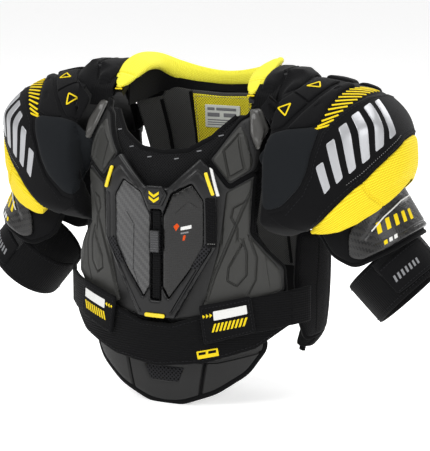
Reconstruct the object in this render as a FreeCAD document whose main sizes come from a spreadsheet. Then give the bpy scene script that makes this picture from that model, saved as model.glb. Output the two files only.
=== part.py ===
"""Junior ice hockey shoulder pads, modelled as they stand on a wearer's shoulders.

Frame: millimetres, +Z up, the chest faces -Y and the wearer's left side is +X.
The origin is the middle of the neck opening, at the height where the yoke rests on the shoulders.
The front layers are slices of one lofted torso; the back layers are slices of a second one.
Each arm assembly is turned about a tilted arm axis that starts at the shoulder centre.
"""
import FreeCAD
import Part
import Sketcher
import math
import os

from FreeCAD import Placement, Rotation, Vector

doc = FreeCAD.newDocument("shoulder_pads")

SIDES = {"left": 1, "right": -1}

# The wearer's left arm rests a little raised and the right one a little lowered, in degrees.
REST_LIFT = {"left": 3.0, "right": -3.0}

# ---------------------------------------------------------------- driving dimensions

SIZES = [
    ("assembly_gap", 0.4, "clearance left between neighbouring layers"),
    ("liner_thick", 2.6, "mesh liner of the chest"),
    ("foam_thick", 9.6, "moulded foam of the chest and of the belly pad"),
    ("band_thick", 3.0, "elastic band across the lower chest"),
    ("strap_thick", 2.6, "waist strap and its front tab"),
    ("plate_thick", 3.4, "composite sternum plates"),
    ("frame_thick", 6.0, "moulded sternum frame"),
    ("trim_thick", 2.2, "badge, accent bars and pull strap"),
    ("back_foam", 11.0, "foam of the back pad and of its side wings"),
    ("back_shift", 20.0, "how far behind the origin the back ellipse is centred"),
    ("spine_thick", 6.0, "moulded plates on the outside of the spine"),
    ("patch_thick", 1.4, "knitted mesh patch on the inside of the back"),
    ("label_thick", 0.8, "woven size label"),
    ("chest_reach", 160.0, "depth of the cutting prisms"),
    ("arch_radius", 74.0, "inner radius of the shoulder arch"),
    ("arch_thick", 6.0, "moulded shoulder arch"),
    ("arch_centre_y", 15.0, "arch centre behind the origin"),
    ("arch_centre_z", -64.0, "arch centre below the origin"),
    ("arch_inner_x", 76.0, "inner edge of the shoulder arch"),
    ("arch_width", 32.0, "width of the shoulder arch"),
    ("epaulette_thick", 11.0, "padded epaulette over the arch"),
    ("epaulette_inner_x", 90.8, "inner edge of the epaulette, clear of the collar"),
    ("epaulette_width", 16.2, "width of the epaulette"),
    ("cord_radius", 1.5, "hinge cords at the shoulders"),
    ("cord_clearance", 0.06, "radial clearance of the loops on the cords"),
    ("loop_radius", 3.6, "outer radius of the hinge loops"),
    ("chest_hinge_y", -36.0, "chest hinge, in front of the origin"),
    ("chest_hinge_z", -3.0, "chest hinge, below the origin"),
    ("cap_hinge_x", 112.5, "cap hinges, out from the middle"),
    ("cap_hinge_z", 22.0, "cap hinges, above the origin"),
    ("arm_centre_x", 132.0, "shoulder centre, out from the middle"),
    ("arm_centre_y", 2.0, "shoulder centre, behind the origin"),
    ("arm_centre_z", -54.0, "shoulder centre, below the origin"),
    ("arm_tilt", 31.0, "degrees between the arm axis and the vertical"),
    ("cap_centre_x", 124.0, "middle of the shoulder cap, out from the middle"),
    ("cap_centre_z", -62.0, "middle of the shoulder cap, below the origin"),
    ("cap_reach", 119.0, "half length of the cap across the shoulders"),
    ("cap_depth", 88.0, "half depth of the cap, front to back"),
    ("cap_height", 90.0, "half height of the cap"),
    ("cap_round_depth", 130.0, "half depth of the ellipsoid that rounds the cap"),
    ("dome_depth", 97.0, "half depth of the ellipsoid that rounds the top of the cap"),
    ("dome_height", 120.0, "half height of the same ellipsoid"),
    ("dome_reach", 170.0, "half length of the same ellipsoid"),
    ("dome_drop", 38.0, "how far its centre lies below the middle of the cap"),
    ("cap_foam", 15.0, "foam of the shoulder cap"),
    ("cap_mouth", 68.0, "radius of the arm opening inside the cap"),
    ("insert_thick", 2.4, "hard insert inside the cap"),
    ("cap_edge_x", 110.0, "plane that trims the cap towards the neck"),
    ("cap_edge_lean", 5.0, "degrees that the trim plane leans outwards"),
    ("guard_radius", 57.0, "outside of the biceps pad"),
    ("guard_foam", 9.0, "foam of the biceps pad"),
    ("guard_top", 62.0, "top of the biceps pad along the arm axis"),
    ("guard_length", 78.0, "length of the biceps pad"),
    ("guard_wrap", 236.0, "degrees that the biceps pad wraps round the arm"),
    ("shield_thick", 3.4, "hard shield on the biceps pad"),
    ("shield_top", 78.0, "top of the shield along the arm axis"),
    ("shield_length", 56.0, "length of the shield"),
    ("shield_wrap", 156.0, "degrees that the shield covers"),
    ("pivot_station", 72.0, "biceps pivots along the arm axis"),
    ("pivot_radius", 3.0, "biceps pivot pins"),
    ("cuff_radius", 46.5, "outside of the arm cuff"),
    ("cuff_thick", 3.2, "elastic of the arm cuff"),
    ("cuff_top", 141.0, "top of the cuff along the arm axis"),
    ("cuff_length", 52.0, "length of the cuff"),
    ("cuff_tilt", 12.0, "degrees that the cuff hangs further out than the biceps guard"),
    ("flap_thick", 2.4, "hook tab of the arm strap"),
    ("flap_top", 151.5, "top of the hook tab along the arm axis"),
    ("flap_length", 35.5, "length of the hook tab"),
    ("flap_wrap", 78.0, "degrees that the hook tab covers"),
    ("flap_root", 82.0, "degrees from the arm's outer line to the tab's sewn end"),
]

# Inner torso ellipses: height, half width, half depth. The front leans back above the chest.
FRONT_STATIONS = [
    (-350, 124, 86),
    (-290, 129, 91),
    (-220, 130, 90),
    (-130, 130, 88),
    (-75, 129, 87),
    (-40, 122, 79),
    (-12, 109, 60),
    (6, 99, 46),
]
BACK_STATIONS = [
    (-305, 131, 46),
    (-230, 138, 53),
    (-120, 138, 54),
    (-50, 132, 51),
    (-10, 124, 48),
    (10, 116, 46),
]

# Collar roll, wearer's left half, from the front tip to the middle of the back: x, y and z of
# its middle, half its width, half its thickness, and the lean of its width from the horizontal.
COLLAR_STATIONS = [
    (79.5, -36, 3, 4.5, 3.0, 8),
    (79, -14, 16, 11.0, 4.5, 14),
    (76.5, 14, 26, 13.0, 5.5, 24),
    (71, 44, 25, 13.0, 5.5, 42),
    (54, 65, 14, 11.5, 5.5, 64),
    (28, 73, 8, 9.5, 5.5, 78),
    (0, 75, 6, 8.5, 5.5, 82),
]

sheet = doc.addObject("Spreadsheet::Sheet", "sizes")
for row, (alias, value, note) in enumerate(SIZES, start=1):
    sheet.set(f"A{row}", note)
    sheet.set(f"B{row}", str(value))
    sheet.setAlias(f"B{row}", alias)
for table, stations in (("front", FRONT_STATIONS), ("back", BACK_STATIONS)):
    for index, station in enumerate(stations):
        for word, value in zip(("height", "width", "depth"), station):
            row += 1
            sheet.set(f"A{row}", f"{table} torso ellipse {index}, {word}")
            sheet.set(f"B{row}", str(value))
            sheet.setAlias(f"B{row}", f"{table}_{word}_{index}")
doc.recompute()


def size(alias):
    """The number that the spreadsheet holds under an alias."""
    return float(sheet.get(alias))


def bind(obj, **expressions):
    """Binds properties of an object to spreadsheet cells, written without the sheet's name."""
    for prop, expression in expressions.items():
        words = expression.split()
        named = [w if w in "+-*/" or w[0].isdigit() else f"sizes.{w}" for w in words]
        obj.setExpression(prop, " ".join(named))
    return obj


# ---------------------------------------------------------------- general builders

parts = {}


def keep(node, shape):
    """Marks an object as a sub-part that is written to its own file."""
    shape.Label = node
    parts[node] = shape
    return shape


def cut(name, base, tool):
    made = doc.addObject("Part::Cut", name)
    made.Base = base
    made.Tool = tool
    return made


def common(name, base, tool):
    made = doc.addObject("Part::Common", name)
    made.Base = base
    made.Tool = tool
    return made


def fuse(name, *shapes):
    made = doc.addObject("Part::MultiFuse", name)
    made.Shapes = list(shapes)
    return made


def outline_sketch(name, points, placement):
    """A closed sketch of straight edges through the points, every corner held coincident."""
    sketch = doc.addObject("Sketcher::SketchObject", name)
    sketch.Placement = placement
    for start, end in zip(points, points[1:] + points[:1]):
        sketch.addGeometry(Part.LineSegment(Vector(*start, 0), Vector(*end, 0)))
    count = len(points)
    for index in range(count):
        sketch.addConstraint(Sketcher.Constraint("Coincident", index, 2, (index + 1) % count, 1))
    return sketch


FRONTAL = Placement(Vector(0, 0, 0), Rotation(Vector(1, 0, 0), 90))


def prism(name, points, side=1, depth="chest_reach", backwards=False):
    """A prism through the torso with an outline drawn in the frontal plane, as (x, z) points."""
    drawn = [(side * x, z) for x, z in points]
    sketch = outline_sketch(f"{name}_outline", drawn, FRONTAL)
    solid = doc.addObject("Part::Extrusion", f"{name}_prism")
    solid.Base = sketch
    solid.DirMode = "Custom"
    solid.Dir = Vector(0, 1 if backwards else -1, 0)
    solid.Solid = True
    bind(solid, LengthFwd=depth)
    return solid


def mirrored(points):
    """Closes a half outline, listed from top to bottom, with its mirror image."""
    return points + [(-x, z) for x, z in reversed(points) if x > 0]


lofts = {}


def torso(table, count, offset):
    """The lofted torso grown sideways by an offset, written as an expression over the sheet."""
    key = (table, offset)
    if key in lofts:
        return lofts[key]
    tag = f"{table}_torso_{len(lofts)}"
    sections = []
    for index in range(count):
        ring = doc.addObject("Part::Ellipse", f"{tag}_ring_{index}")
        if table == "back":
            bind(ring, **{"Placement.Base.y": "back_shift"})
        bind(
            ring,
            **{
                "MajorRadius": f"{table}_width_{index} + {offset}",
                "MinorRadius": f"{table}_depth_{index} + {offset}",
                "Placement.Base.z": f"{table}_height_{index}",
            },
        )
        sections.append(ring)
    loft = doc.addObject("Part::Loft", tag)
    loft.Sections = sections
    loft.Solid = True
    lofts[key] = loft
    return loft


shells = {}


def layer(table, count, inner, outer):
    """The lofted layer between two offsets of a torso."""
    key = (table, inner, outer)
    if key not in shells:
        name = f"{table}_layer_{len(shells)}"
        shells[key] = cut(name, torso(table, count, outer), torso(table, count, inner))
    return shells[key]


def front_slice(node, inner, outer, outline):
    """A front layer between two offsets, trimmed to an outline prism."""
    return common(f"{node}_slice", layer("front", len(FRONT_STATIONS), inner, outer), outline)


def back_slice(node, inner, outer, outline):
    """A back layer between two offsets, trimmed to an outline prism."""
    return common(f"{node}_slice", layer("back", len(BACK_STATIONS), inner, outer), outline)


LINER = "liner_thick"
FOAM_IN = "liner_thick + assembly_gap"
FOAM_OUT = f"{FOAM_IN} + foam_thick"
OVER_IN = f"{FOAM_OUT} + assembly_gap"
BAND_OUT = f"{OVER_IN} + band_thick"
STRAP_IN = f"{BAND_OUT} + assembly_gap"
STRAP_OUT = f"{STRAP_IN} + strap_thick"
TAB_IN = f"{STRAP_OUT} + assembly_gap"
TAB_OUT = f"{TAB_IN} + strap_thick"
PLATE_OUT = f"{OVER_IN} + plate_thick"
FRAME_OUT = f"{OVER_IN} + frame_thick"
TRIM_IN = f"{FRAME_OUT} + assembly_gap"
TRIM_OUT = f"{TRIM_IN} + trim_thick"

# ---------------------------------------------------------------- chest


def chest():
    """Mesh liner, two pairs of moulded foam panels, the waist band and what is sewn to them."""
    liner = mirrored(
        [(0, -55), (28, -52), (52, -38), (72, -18), (88, -18), (89, -9), (104, -9), (109, -24),
         (106, -60), (97, -140), (122, -182), (125, -236), (104, -262), (54, -279), (0, -284)]
    )
    keep("chest_liner", front_slice("chest_liner", "0", LINER, prism("chest_liner", liner)))
    upper = [(64, -50), (80, -22), (88, -18), (89, -10), (103, -10), (106, -24), (105, -60),
             (102, -73), (77, -89), (55, -62)]
    lower = [(57, -66.5), (77, -92), (102, -76), (98, -140), (127, -178), (128, -206),
             (74, -230), (12, -238), (12, -112)]
    band = mirrored([(0, -239), (18, -239), (62, -224), (131, -208), (133, -240), (104, -264),
                     (54, -280), (0, -287)])
    guard = [(88, -10), (99, -9), (112, -31), (104, -54), (95, -34)]
    tab = [(50, -216), (101, -205), (106, -244), (56, -258)]
    for name, side in SIDES.items():
        for node, outline in ((f"chest_upper_{name}", upper), (f"chest_lower_{name}", lower)):
            keep(node, front_slice(node, FOAM_IN, FOAM_OUT, prism(node, outline, side)))
        node = f"clavicle_guard_{name}"
        keep(node, front_slice(node, OVER_IN, FRAME_OUT, prism(node, guard, side)))
        node = f"waist_tab_{name}"
        keep(node, front_slice(node, TAB_IN, TAB_OUT, prism(node, tab, side)))
    keep("chest_band", front_slice("chest_band", OVER_IN, BAND_OUT, prism("chest_band", band)))


def waist_straps():
    """Elastic straps that leave from under the front tabs and end at the sides of the chest."""
    strap = [(72, -212), (138, -202), (139, -240), (77, -251)]
    for name, side in SIDES.items():
        node = f"waist_strap_{name}"
        keep(node, front_slice(node, STRAP_IN, STRAP_OUT, prism(node, strap, side)))


def sternum():
    """Floating sternum protector: frame, two plates, badge, strap, accents and pull strap."""
    outer = mirrored([(0, -92), (14, -92), (48, -60), (60, -70), (67, -98), (67, -153),
                      (22, -233), (0, -233)])
    window = [(7.5, -122), (18, -98), (41, -86), (53, -104), (53, -158), (35, -185),
              (15, -212), (7.5, -200)]
    channel = [(-6.5, -116), (6.5, -116), (6.5, -214), (-6.5, -214)]
    plate = [(8, -123), (18.5, -99), (40.5, -87), (52.4, -104.5), (52.4, -157.6), (34.5, -184.6),
             (15.2, -211), (8, -199)]
    frame = front_slice("sternum_frame", OVER_IN, FRAME_OUT, prism("sternum_frame", outer))
    for name, side in SIDES.items():
        frame = cut(f"sternum_frame_{name}", frame, prism(f"window_{name}", window, side))
    keep("sternum_frame", cut("sternum_frame_body", frame, prism("channel", channel)))
    for name, side in SIDES.items():
        node = f"sternum_plate_{name}"
        keep(node, front_slice(node, OVER_IN, PLATE_OUT, prism(node, plate, side)))
    strap = [(-5, -117), (5, -117), (5, -213), (-5, -213)]
    keep("sternum_strap", front_slice("sternum_strap", OVER_IN, PLATE_OUT,
                                      prism("sternum_strap", strap)))
    badge = mirrored([(0, -90), (9, -90), (15, -99), (8, -112), (0, -112)])
    keep("sternum_badge", front_slice("sternum_badge", TRIM_IN, TRIM_OUT,
                                      prism("sternum_badge", badge)))
    bars = [
        [(-12, -228), (12, -228), (12, -232.5), (-12, -232.5)],
        [(54, -74), (57.5, -73), (66, -97), (62.5, -98)],
        [(-54, -74), (-62.5, -98), (-66, -97), (-57.5, -73)],
    ]
    solids = []
    for index, bar in enumerate(bars):
        name = f"accent_{index}"
        solids.append(front_slice(name, TRIM_IN, TRIM_OUT, prism(name, bar)))
    keep("accent_bars", fuse("accent_group", *solids))
    pull = [(56, -101), (67, -100), (68, -153), (57, -153)]
    keep("pull_strap", front_slice("pull_strap", TRIM_IN, TRIM_OUT, prism("pull_strap", pull)))
    keeper = [(59.5, -68), (63, -70), (71, -98), (67.6, -98.4)]
    keep("strap_keeper", front_slice("strap_keeper", TRIM_IN, TRIM_OUT,
                                     prism("strap_keeper", keeper)))


def slider():
    """Ribbed slider that runs down the sternum strap, in the channel between the plates."""
    body = doc.addObject("PartDesign::Body", "slider_body")
    plane = next(f for f in body.Origin.OriginFeatures if f.Role == "XZ_Plane")
    sketch = body.newObject("Sketcher::SketchObject", "slider_outline")
    sketch.AttachmentSupport = [(plane, "")]
    sketch.MapMode = "FlatFace"
    half_width, half_height, depth, rounding, middle_z = 5.6, 12.0, 4.0, 1.2, -150
    corners = [(-half_width, -half_height), (half_width, -half_height),
               (half_width, half_height), (-half_width, half_height)]
    for start, end in zip(corners, corners[1:] + corners[:1]):
        sketch.addGeometry(Part.LineSegment(Vector(*start, 0), Vector(*end, 0)))
    for index in range(4):
        sketch.addConstraint(Sketcher.Constraint("Coincident", index, 2, (index + 1) % 4, 1))
    pad = body.newObject("PartDesign::Pad", "slider_pad")
    pad.Profile = sketch
    pad.Length = depth
    doc.recompute()
    rounded = body.newObject("PartDesign::Fillet", "slider_rounding")
    rounded.Base = (pad, [f"Edge{i + 1}" for i in range(len(pad.Shape.Edges))])
    rounded.Radius = rounding
    body.Tip = rounded
    gaps = 6
    front_y = -(size("front_depth_3") + size("liner_thick") + size("foam_thick")
                + size("plate_thick") + gaps * size("assembly_gap"))
    body.Placement = Placement(Vector(0, front_y, middle_z), Rotation())
    keep("sternum_slider", body)


def belly():
    """Belly pad that slides behind the chest band, its mesh vent, and the tag on the band."""
    outline = mirrored([(0, -246), (100, -240), (107, -268), (90, -295), (58, -317), (20, -331),
                        (0, -333)])
    vent = mirrored([(0, -291), (24, -291), (17, -308), (0, -308)])
    inner = "0 - foam_thick - assembly_gap - assembly_gap"
    outer = "0 - assembly_gap - assembly_gap"
    pad = front_slice("belly_pad", inner, outer, prism("belly_pad", outline))
    hole = prism("belly_vent_hole", mirrored([(0, -290.6), (24.6, -290.6), (17.3, -308.4),
                                              (0, -308.4)]))
    keep("belly_pad", cut("belly_pad_body", pad, hole))
    keep("belly_vent", front_slice("belly_vent", inner, outer, prism("belly_vent", vent)))
    tag = [(46, -267), (68, -262), (69.5, -270.5), (47.5, -275.5)]
    keep("band_tag", front_slice("band_tag", STRAP_IN, f"{STRAP_IN} + label_thick",
                                 prism("band_tag", tag)))


# ---------------------------------------------------------------- back and yoke


def back():
    """Back pad with its liner, spine plates, side wings and size label."""
    pad = mirrored([(0, -6), (40, -4), (60, 0), (73.5, -4), (76, -12), (107, -18), (98, -60),
                    (88, -100), (100, -150), (118, -200), (112, -250), (70, -278), (0, -282)])
    keep("back_pad", back_slice("back_pad", "0", "back_foam", prism("back_pad", pad,
                                                                  backwards=True)))
    liner_out = "0 - assembly_gap"
    liner_in = f"{liner_out} - liner_thick"
    patch_out = f"{liner_in} - assembly_gap"
    patch_in = f"{patch_out} - patch_thick"
    label_out = f"{patch_in} - assembly_gap"
    label_in = f"{label_out} - label_thick"
    liner = mirrored([(0, -10), (40, -8), (58, -5), (71, -9), (73, -16), (103, -22), (94, -60),
                      (84, -100), (96, -150), (106, -200), (0, -206)])
    patch = mirrored([(0, -14), (37, -12), (30, -96), (0, -96)])
    label = [(-22, -24), (22, -24), (22, -50), (-22, -50)]
    for node, inner, outer, outline in (("back_liner", liner_in, liner_out, liner),
                                        ("back_patch", patch_in, patch_out, patch),
                                        ("size_label", label_in, label_out, label)):
        keep(node, back_slice(node, inner, outer, prism(node, outline, backwards=True)))
    plates = {
        "spine_guard_upper": mirrored([(0, -34), (34, -40), (46, -78), (30, -126), (0, -132)]),
        "spine_guard_lower": mirrored([(0, -136), (30, -131), (42, -166), (28, -226),
                                       (0, -238)]),
    }
    for node, outline in plates.items():
        keep(node, back_slice(node, "back_foam + assembly_gap",
                              "back_foam + assembly_gap + spine_thick",
                              prism(node, outline, backwards=True)))
    wing = [(106, -292), (122, -288), (146, -258), (150, -210), (150, -153), (119, -153),
            (122.5, -200), (116.5, -252)]
    for name, side in SIDES.items():
        node = f"back_wing_{name}"
        rear = back_slice(f"{node}_rear", "0", "back_foam", prism(f"{node}_rear", wing, side,
                                                                  backwards=True))
        front_wing = [(122, -153), (150, -153), (150, -210), (147, -262), (138, -268),
                      (130, -240)]
        fore_prism = prism(f"{node}_fore", front_wing, side, depth="back_shift")
        fore = back_slice(f"{node}_fore", "0", "back_foam", fore_prism)
        keep(node, fuse(f"{node}_body", rear, fore))


def arch_sector(name, inner, outer, start, sweep, x_from, width, side):
    """A sector of ring about the arch's own axis, which runs across the shoulders."""
    low = size(x_from) if side > 0 else -size(x_from) - size(width)
    centre = Vector(low, size("arch_centre_y"), size("arch_centre_z"))
    turn = Rotation(Vector(0, 1, 0), 90).multiply(Rotation(Vector(0, 0, 1), 180 + start))
    rings = []
    for word, radius in (("outer", outer), ("inner", inner)):
        ring = doc.addObject("Part::Cylinder", f"{name}_{word}")
        bind(ring, Radius=radius, Height=width)
        ring.Placement = Placement(centre, turn)
        rings.append(ring)
    rings[0].Angle = sweep
    return cut(f"{name}_sector", *rings)


def rod(name, radius, start, end):
    """A round rod between two points, its radius an expression over the sheet."""
    start, end = Vector(*start), Vector(*end)
    made = doc.addObject("Part::Cylinder", name)
    bind(made, Radius=radius)
    made.Height = (end - start).Length
    made.Placement = Placement(start, Rotation(Vector(0, 0, 1), end - start))
    return made


def slab(name, low, high):
    """A plain block between two corners."""
    made = doc.addObject("Part::Box", name)
    made.Length, made.Width, made.Height = (b - a for a, b in zip(low, high))
    made.Placement = Placement(Vector(*low), Rotation())
    return made


def span(side, near, far):
    """Low and high x of a stretch given as distances out from the middle."""
    return (near, far) if side > 0 else (-far, -near)


LOOP_BORE = "cord_radius + cord_clearance"
# Stretches of the hinges, as pairs: x out from the middle for the chest hinge, y for the cap's.
ARCH_LOOPS = ((88, 94), (102, 108))
CHEST_LOOP = (94.5, 101.5)
ARCH_TOP_LOOPS = ((-20, -12), (16, 24))
CAP_LOOP = (-11.5, 15.5)
ARCH_START, ARCH_SWEEP = -34, 74
EPAULETTE_START, EPAULETTE_SWEEP = -24, 58
CHEST_CORD = (87, 109)
CAP_CORD = (-21, 25)
CAP_BORE = (-22, 26)
# The webs that join the loops to the arch: the front ones run back to a y and lie between two
# heights off the hinge; the top ones run between two x, the outer one measured in from the hinge.
WEB_BACK_Y, WEB_BELOW, WEB_ABOVE = -24, 1.0, 3.2
TOP_WEB_INNER_X, TOP_WEB_LOW_Z, TOP_WEB_GAP = 104, 10, 1.8
# Room cut away for the chest loops and for the cap loops, as two corners on the left side.
CHEST_LOOP_ROOM = ((94, -50, -30), (102, -31.6, 10))
CAP_LOOP_ROOM = ((103.6, -21, 0), (112, 25, 40))


def both_spans(side, corners):
    """Low and high corners of a block given for the wearer's left side."""
    (near, *low), (far, *high) = corners
    near, far = span(side, near, far)
    return (near, *low), (far, *high)


def yoke():
    """Shoulder arches with their hinge loops, hinge cords and padded epaulettes."""
    hinge_y, hinge_z = size("chest_hinge_y"), size("chest_hinge_z")
    cap_x, cap_z = size("cap_hinge_x"), size("cap_hinge_z")
    for name, side in SIDES.items():
        pieces = [arch_sector(f"arch_{name}", "arch_radius", "arch_radius + arch_thick",
                              ARCH_START, ARCH_SWEEP, "arch_inner_x", "arch_width", side)]
        for index, (near, far) in enumerate(ARCH_LOOPS):
            low, high = span(side, near, far)
            pieces.append(rod(f"front_loop_{name}_{index}", "loop_radius",
                              (low, hinge_y, hinge_z), (high, hinge_y, hinge_z)))
            pieces.append(slab(f"front_web_{name}_{index}", (low, hinge_y, hinge_z - WEB_BELOW),
                               (high, WEB_BACK_Y, hinge_z + WEB_ABOVE)))
        for index, (near, far) in enumerate(ARCH_TOP_LOOPS):
            pieces.append(rod(f"top_loop_{name}_{index}", "loop_radius",
                              (side * cap_x, near, cap_z), (side * cap_x, far, cap_z)))
            low, high = span(side, TOP_WEB_INNER_X, cap_x - TOP_WEB_GAP)
            pieces.append(slab(f"top_web_{name}_{index}", (low, near, TOP_WEB_LOW_Z),
                               (high, far, cap_z)))
        low, high = span(side, *CHEST_CORD)
        front_bore = rod(f"front_bore_{name}", LOOP_BORE, (low, hinge_y, hinge_z),
                         (high, hinge_y, hinge_z))
        top_bore = rod(f"top_bore_{name}", LOOP_BORE, (side * cap_x, CAP_BORE[0], cap_z),
                       (side * cap_x, CAP_BORE[1], cap_z))
        room = slab(f"chest_loop_room_{name}", *both_spans(side, CHEST_LOOP_ROOM))
        away = fuse(f"arch_away_{name}", front_bore, top_bore, room)
        solid = fuse(f"arch_solid_{name}", *pieces)
        keep(f"shoulder_arch_{name}", cut(f"arch_body_{name}", solid, away))
        keep(f"chest_hinge_cord_{name}", rod(f"chest_cord_{name}", "cord_radius",
                                             (low, hinge_y, hinge_z), (high, hinge_y, hinge_z)))
        keep(f"cap_hinge_cord_{name}", rod(f"cap_cord_{name}", "cord_radius",
                                           (side * cap_x, CAP_CORD[0], cap_z),
                                           (side * cap_x, CAP_CORD[1], cap_z)))
        inner = "arch_radius + arch_thick + assembly_gap"
        epaulette = arch_sector(f"epaulette_{name}", inner, f"{inner} + epaulette_thick",
                                EPAULETTE_START, EPAULETTE_SWEEP, "epaulette_inner_x",
                                "epaulette_width", side)
        room = slab(f"epaulette_room_{name}", *both_spans(side, CAP_LOOP_ROOM))
        keep(f"epaulette_{name}", cut(f"epaulette_body_{name}", epaulette, room))


# The tongue of a chest loop: its length, thickness, lean in degrees, and set-off from the cord.
TONGUE_LONG, TONGUE_THICK, TONGUE_LEAN, TONGUE_OFF = 17, 2.6, -28, 0.8


def chest_loops():
    """Loops on the chest that turn on the shoulder cords, each with a tongue down to the liner."""
    hinge_y, hinge_z = size("chest_hinge_y"), size("chest_hinge_z")
    for name, side in SIDES.items():
        low, high = span(side, *CHEST_LOOP)
        ends = (low, hinge_y, hinge_z), (high, hinge_y, hinge_z)
        loop = rod(f"chest_loop_rod_{name}", "loop_radius", *ends)
        tongue = slab(f"chest_tongue_{name}", (0, 0, 0), (high - low, TONGUE_THICK, TONGUE_LONG))
        lean = Placement(Vector(low, hinge_y, hinge_z), Rotation(Vector(1, 0, 0), TONGUE_LEAN))
        hung = Placement(Vector(0, -TONGUE_THICK - TONGUE_OFF, -TONGUE_LONG), Rotation())
        tongue.Placement = lean.multiply(hung)
        bore = rod(f"chest_loop_bore_{name}", LOOP_BORE, *ends)
        solid = fuse(f"chest_loop_solid_{name}", loop, tongue)
        keep(f"chest_hinge_loop_{name}", cut(f"chest_loop_body_{name}", solid, bore))


def collar():
    """Padded collar: half a roll lofted along the neckline, and its mirror image."""
    places = [Vector(-x, y, z) for x, y, z, *_ in COLLAR_STATIONS]
    x, y, z = places[-2]
    ends = [places[0]] + places + [Vector(-x, y, z)]
    sections = []
    for index, (*_, wide, thick, lean) in enumerate(COLLAR_STATIONS):
        along = (ends[index + 2] - ends[index]).normalize()
        level = along.cross(Vector(0, 0, 1)).normalize()
        tilt = math.radians(lean)
        width = level * math.cos(tilt) - along.cross(level) * math.sin(tilt)
        ring = doc.addObject("Part::Ellipse", f"collar_ring_{index}")
        ring.MajorRadius = wide
        ring.MinorRadius = thick
        ring.Placement = Placement(places[index],
                                   Rotation(width, along.cross(width), along, "ZXY"))
        sections.append(ring)
    half = doc.addObject("Part::Loft", "collar_half")
    half.Sections = sections
    half.Solid = True
    other = doc.addObject("Part::Mirroring", "collar_other_half")
    other.Source = half
    other.Normal = Vector(1, 0, 0)
    keep("collar", fuse("collar_whole", half, other))


# ---------------------------------------------------------------- arms


def hinge_turn(name):
    """Turns one arm assembly about its cap hinge from the symmetric pose to its rest pose."""
    side = SIDES[name]
    hinge = Vector(side * size("cap_hinge_x"), 0, size("cap_hinge_z"))
    turn = Rotation(Vector(0, 1, 0), -side * REST_LIFT[name])
    return Placement(hinge, turn).multiply(Placement(hinge * -1, Rotation()))


def arm_placement(name):
    """Places arm geometry: local -Z runs down the arm and local +X points away from the body."""
    side = SIDES[name]
    centre = Vector(side * size("arm_centre_x"), size("arm_centre_y"), size("arm_centre_z"))
    turn = Rotation(Vector(0, 1, 0), -side * size("arm_tilt"))
    if side < 0:
        turn = turn.multiply(Rotation(Vector(0, 0, 1), 180))
    return hinge_turn(name).multiply(Placement(centre, turn))


def cuff_hang():
    """Tilts the cuff outwards about the middle of its top edge, in the arm's local frame."""
    top = Vector(0, 0, -size("cuff_top"))
    turn = Rotation(Vector(0, 1, 0), -size("cuff_tilt"))
    return Placement(top, turn).multiply(Placement(top * -1, Rotation()))


def arm_tube(tag, name, outer, inner, top, length, start, sweep, hang=Placement()):
    """A C-shaped tube round the arm axis; angles run from the arm's outer line."""
    base = Placement(Vector(0, 0, -(size(top) + size(length))), Rotation(Vector(0, 0, 1), start))
    base = hang.multiply(base)
    rings = []
    for word, radius in (("outer", outer), ("inner", inner)):
        ring = doc.addObject("Part::Cylinder", f"{tag}_{word}")
        bind(ring, Radius=radius, Height=length)
        ring.Placement = arm_placement(name).multiply(base)
        rings.append(ring)
    rings[0].Angle = sweep
    return cut(f"{tag}_tube", *rings)


def ellipsoid(tag, name, reach, depth, height, low=-90, drop=0):
    """An ellipsoid at or below the middle of a cap, or its upper half when low is 0."""
    centre = Vector(SIDES[name] * size("cap_centre_x"), size("arm_centre_y"),
                    size("cap_centre_z") - drop)
    made = doc.addObject("Part::Ellipsoid", tag)
    bind(made, Radius1=height, Radius2=reach, Radius3=depth)
    made.Angle1 = low
    made.Placement = hinge_turn(name).multiply(Placement(centre, Rotation()))
    return made


def cap_outside(name):
    """Outside of a cap: an ellipsoid flattened by an upright drum and rounded over the top."""
    rounding = ellipsoid(f"cap_rounding_{name}", name, "cap_reach", "cap_round_depth",
                         "cap_height")
    ring = doc.addObject("Part::Ellipse", f"cap_waist_{name}")
    bind(ring, MajorRadius="cap_reach + assembly_gap + assembly_gap", MinorRadius="cap_depth")
    ring.Placement = rounding.Placement
    drum = doc.addObject("Part::Extrusion", f"cap_drum_{name}")
    drum.Base = ring
    drum.DirMode = "Custom"
    drum.Dir = rounding.Placement.Rotation.multVec(Vector(0, 0, 1))
    drum.Solid = True
    bind(drum, LengthFwd="cap_reach", LengthRev="cap_reach")
    dome = ellipsoid(f"cap_dome_{name}", name, "dome_reach", "dome_depth", "dome_height",
                     drop=size("dome_drop"))
    return common(f"cap_outside_{name}", common(f"cap_round_{name}", rounding, drum), dome)


def trim_block(tag, side, edge):
    """The space towards the neck that a cap leaves free: a block with a leaning outer face."""
    reach, tall, deep, middle_z = 200.0, 500.0, 400.0, -75
    block = slab(tag, (0, 0, 0), (reach, deep, tall))
    lean = Rotation(Vector(0, 1, 0), side * size("cap_edge_lean"))
    low_x = -reach if side > 0 else 0.0
    block.Placement = Placement(Vector(side * edge, 0, middle_z), lean).multiply(
        Placement(Vector(low_x, -deep / 2, -tall / 2), Rotation()))
    return block


def arm_pin(tag, name, way, radius, near, far):
    """A pin across the arm axis at the pivot station, between two distances from the axis."""
    station = -size("pivot_station")
    start = arm_placement(name).multVec(Vector(0, way * near, station))
    end = arm_placement(name).multVec(Vector(0, way * far, station))
    return rod(tag, radius, start, end)


# The tongue of a cap loop: how far out it reaches, and its two heights above the hinge.
CAP_TONGUE_REACH, CAP_TONGUE_LOW, CAP_TONGUE_HIGH = 16, 0.9, 3.4
MOUTH_LONG, MOUTH_DEPTH = 200, 220
INSERT_SETBACK = 6
# A pivot pin starts inside the biceps pad and ends inside the foam of the cap.
PIN_INSET, PIN_REACH, BORE_MARGIN = 1.5, 5, 4


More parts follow.
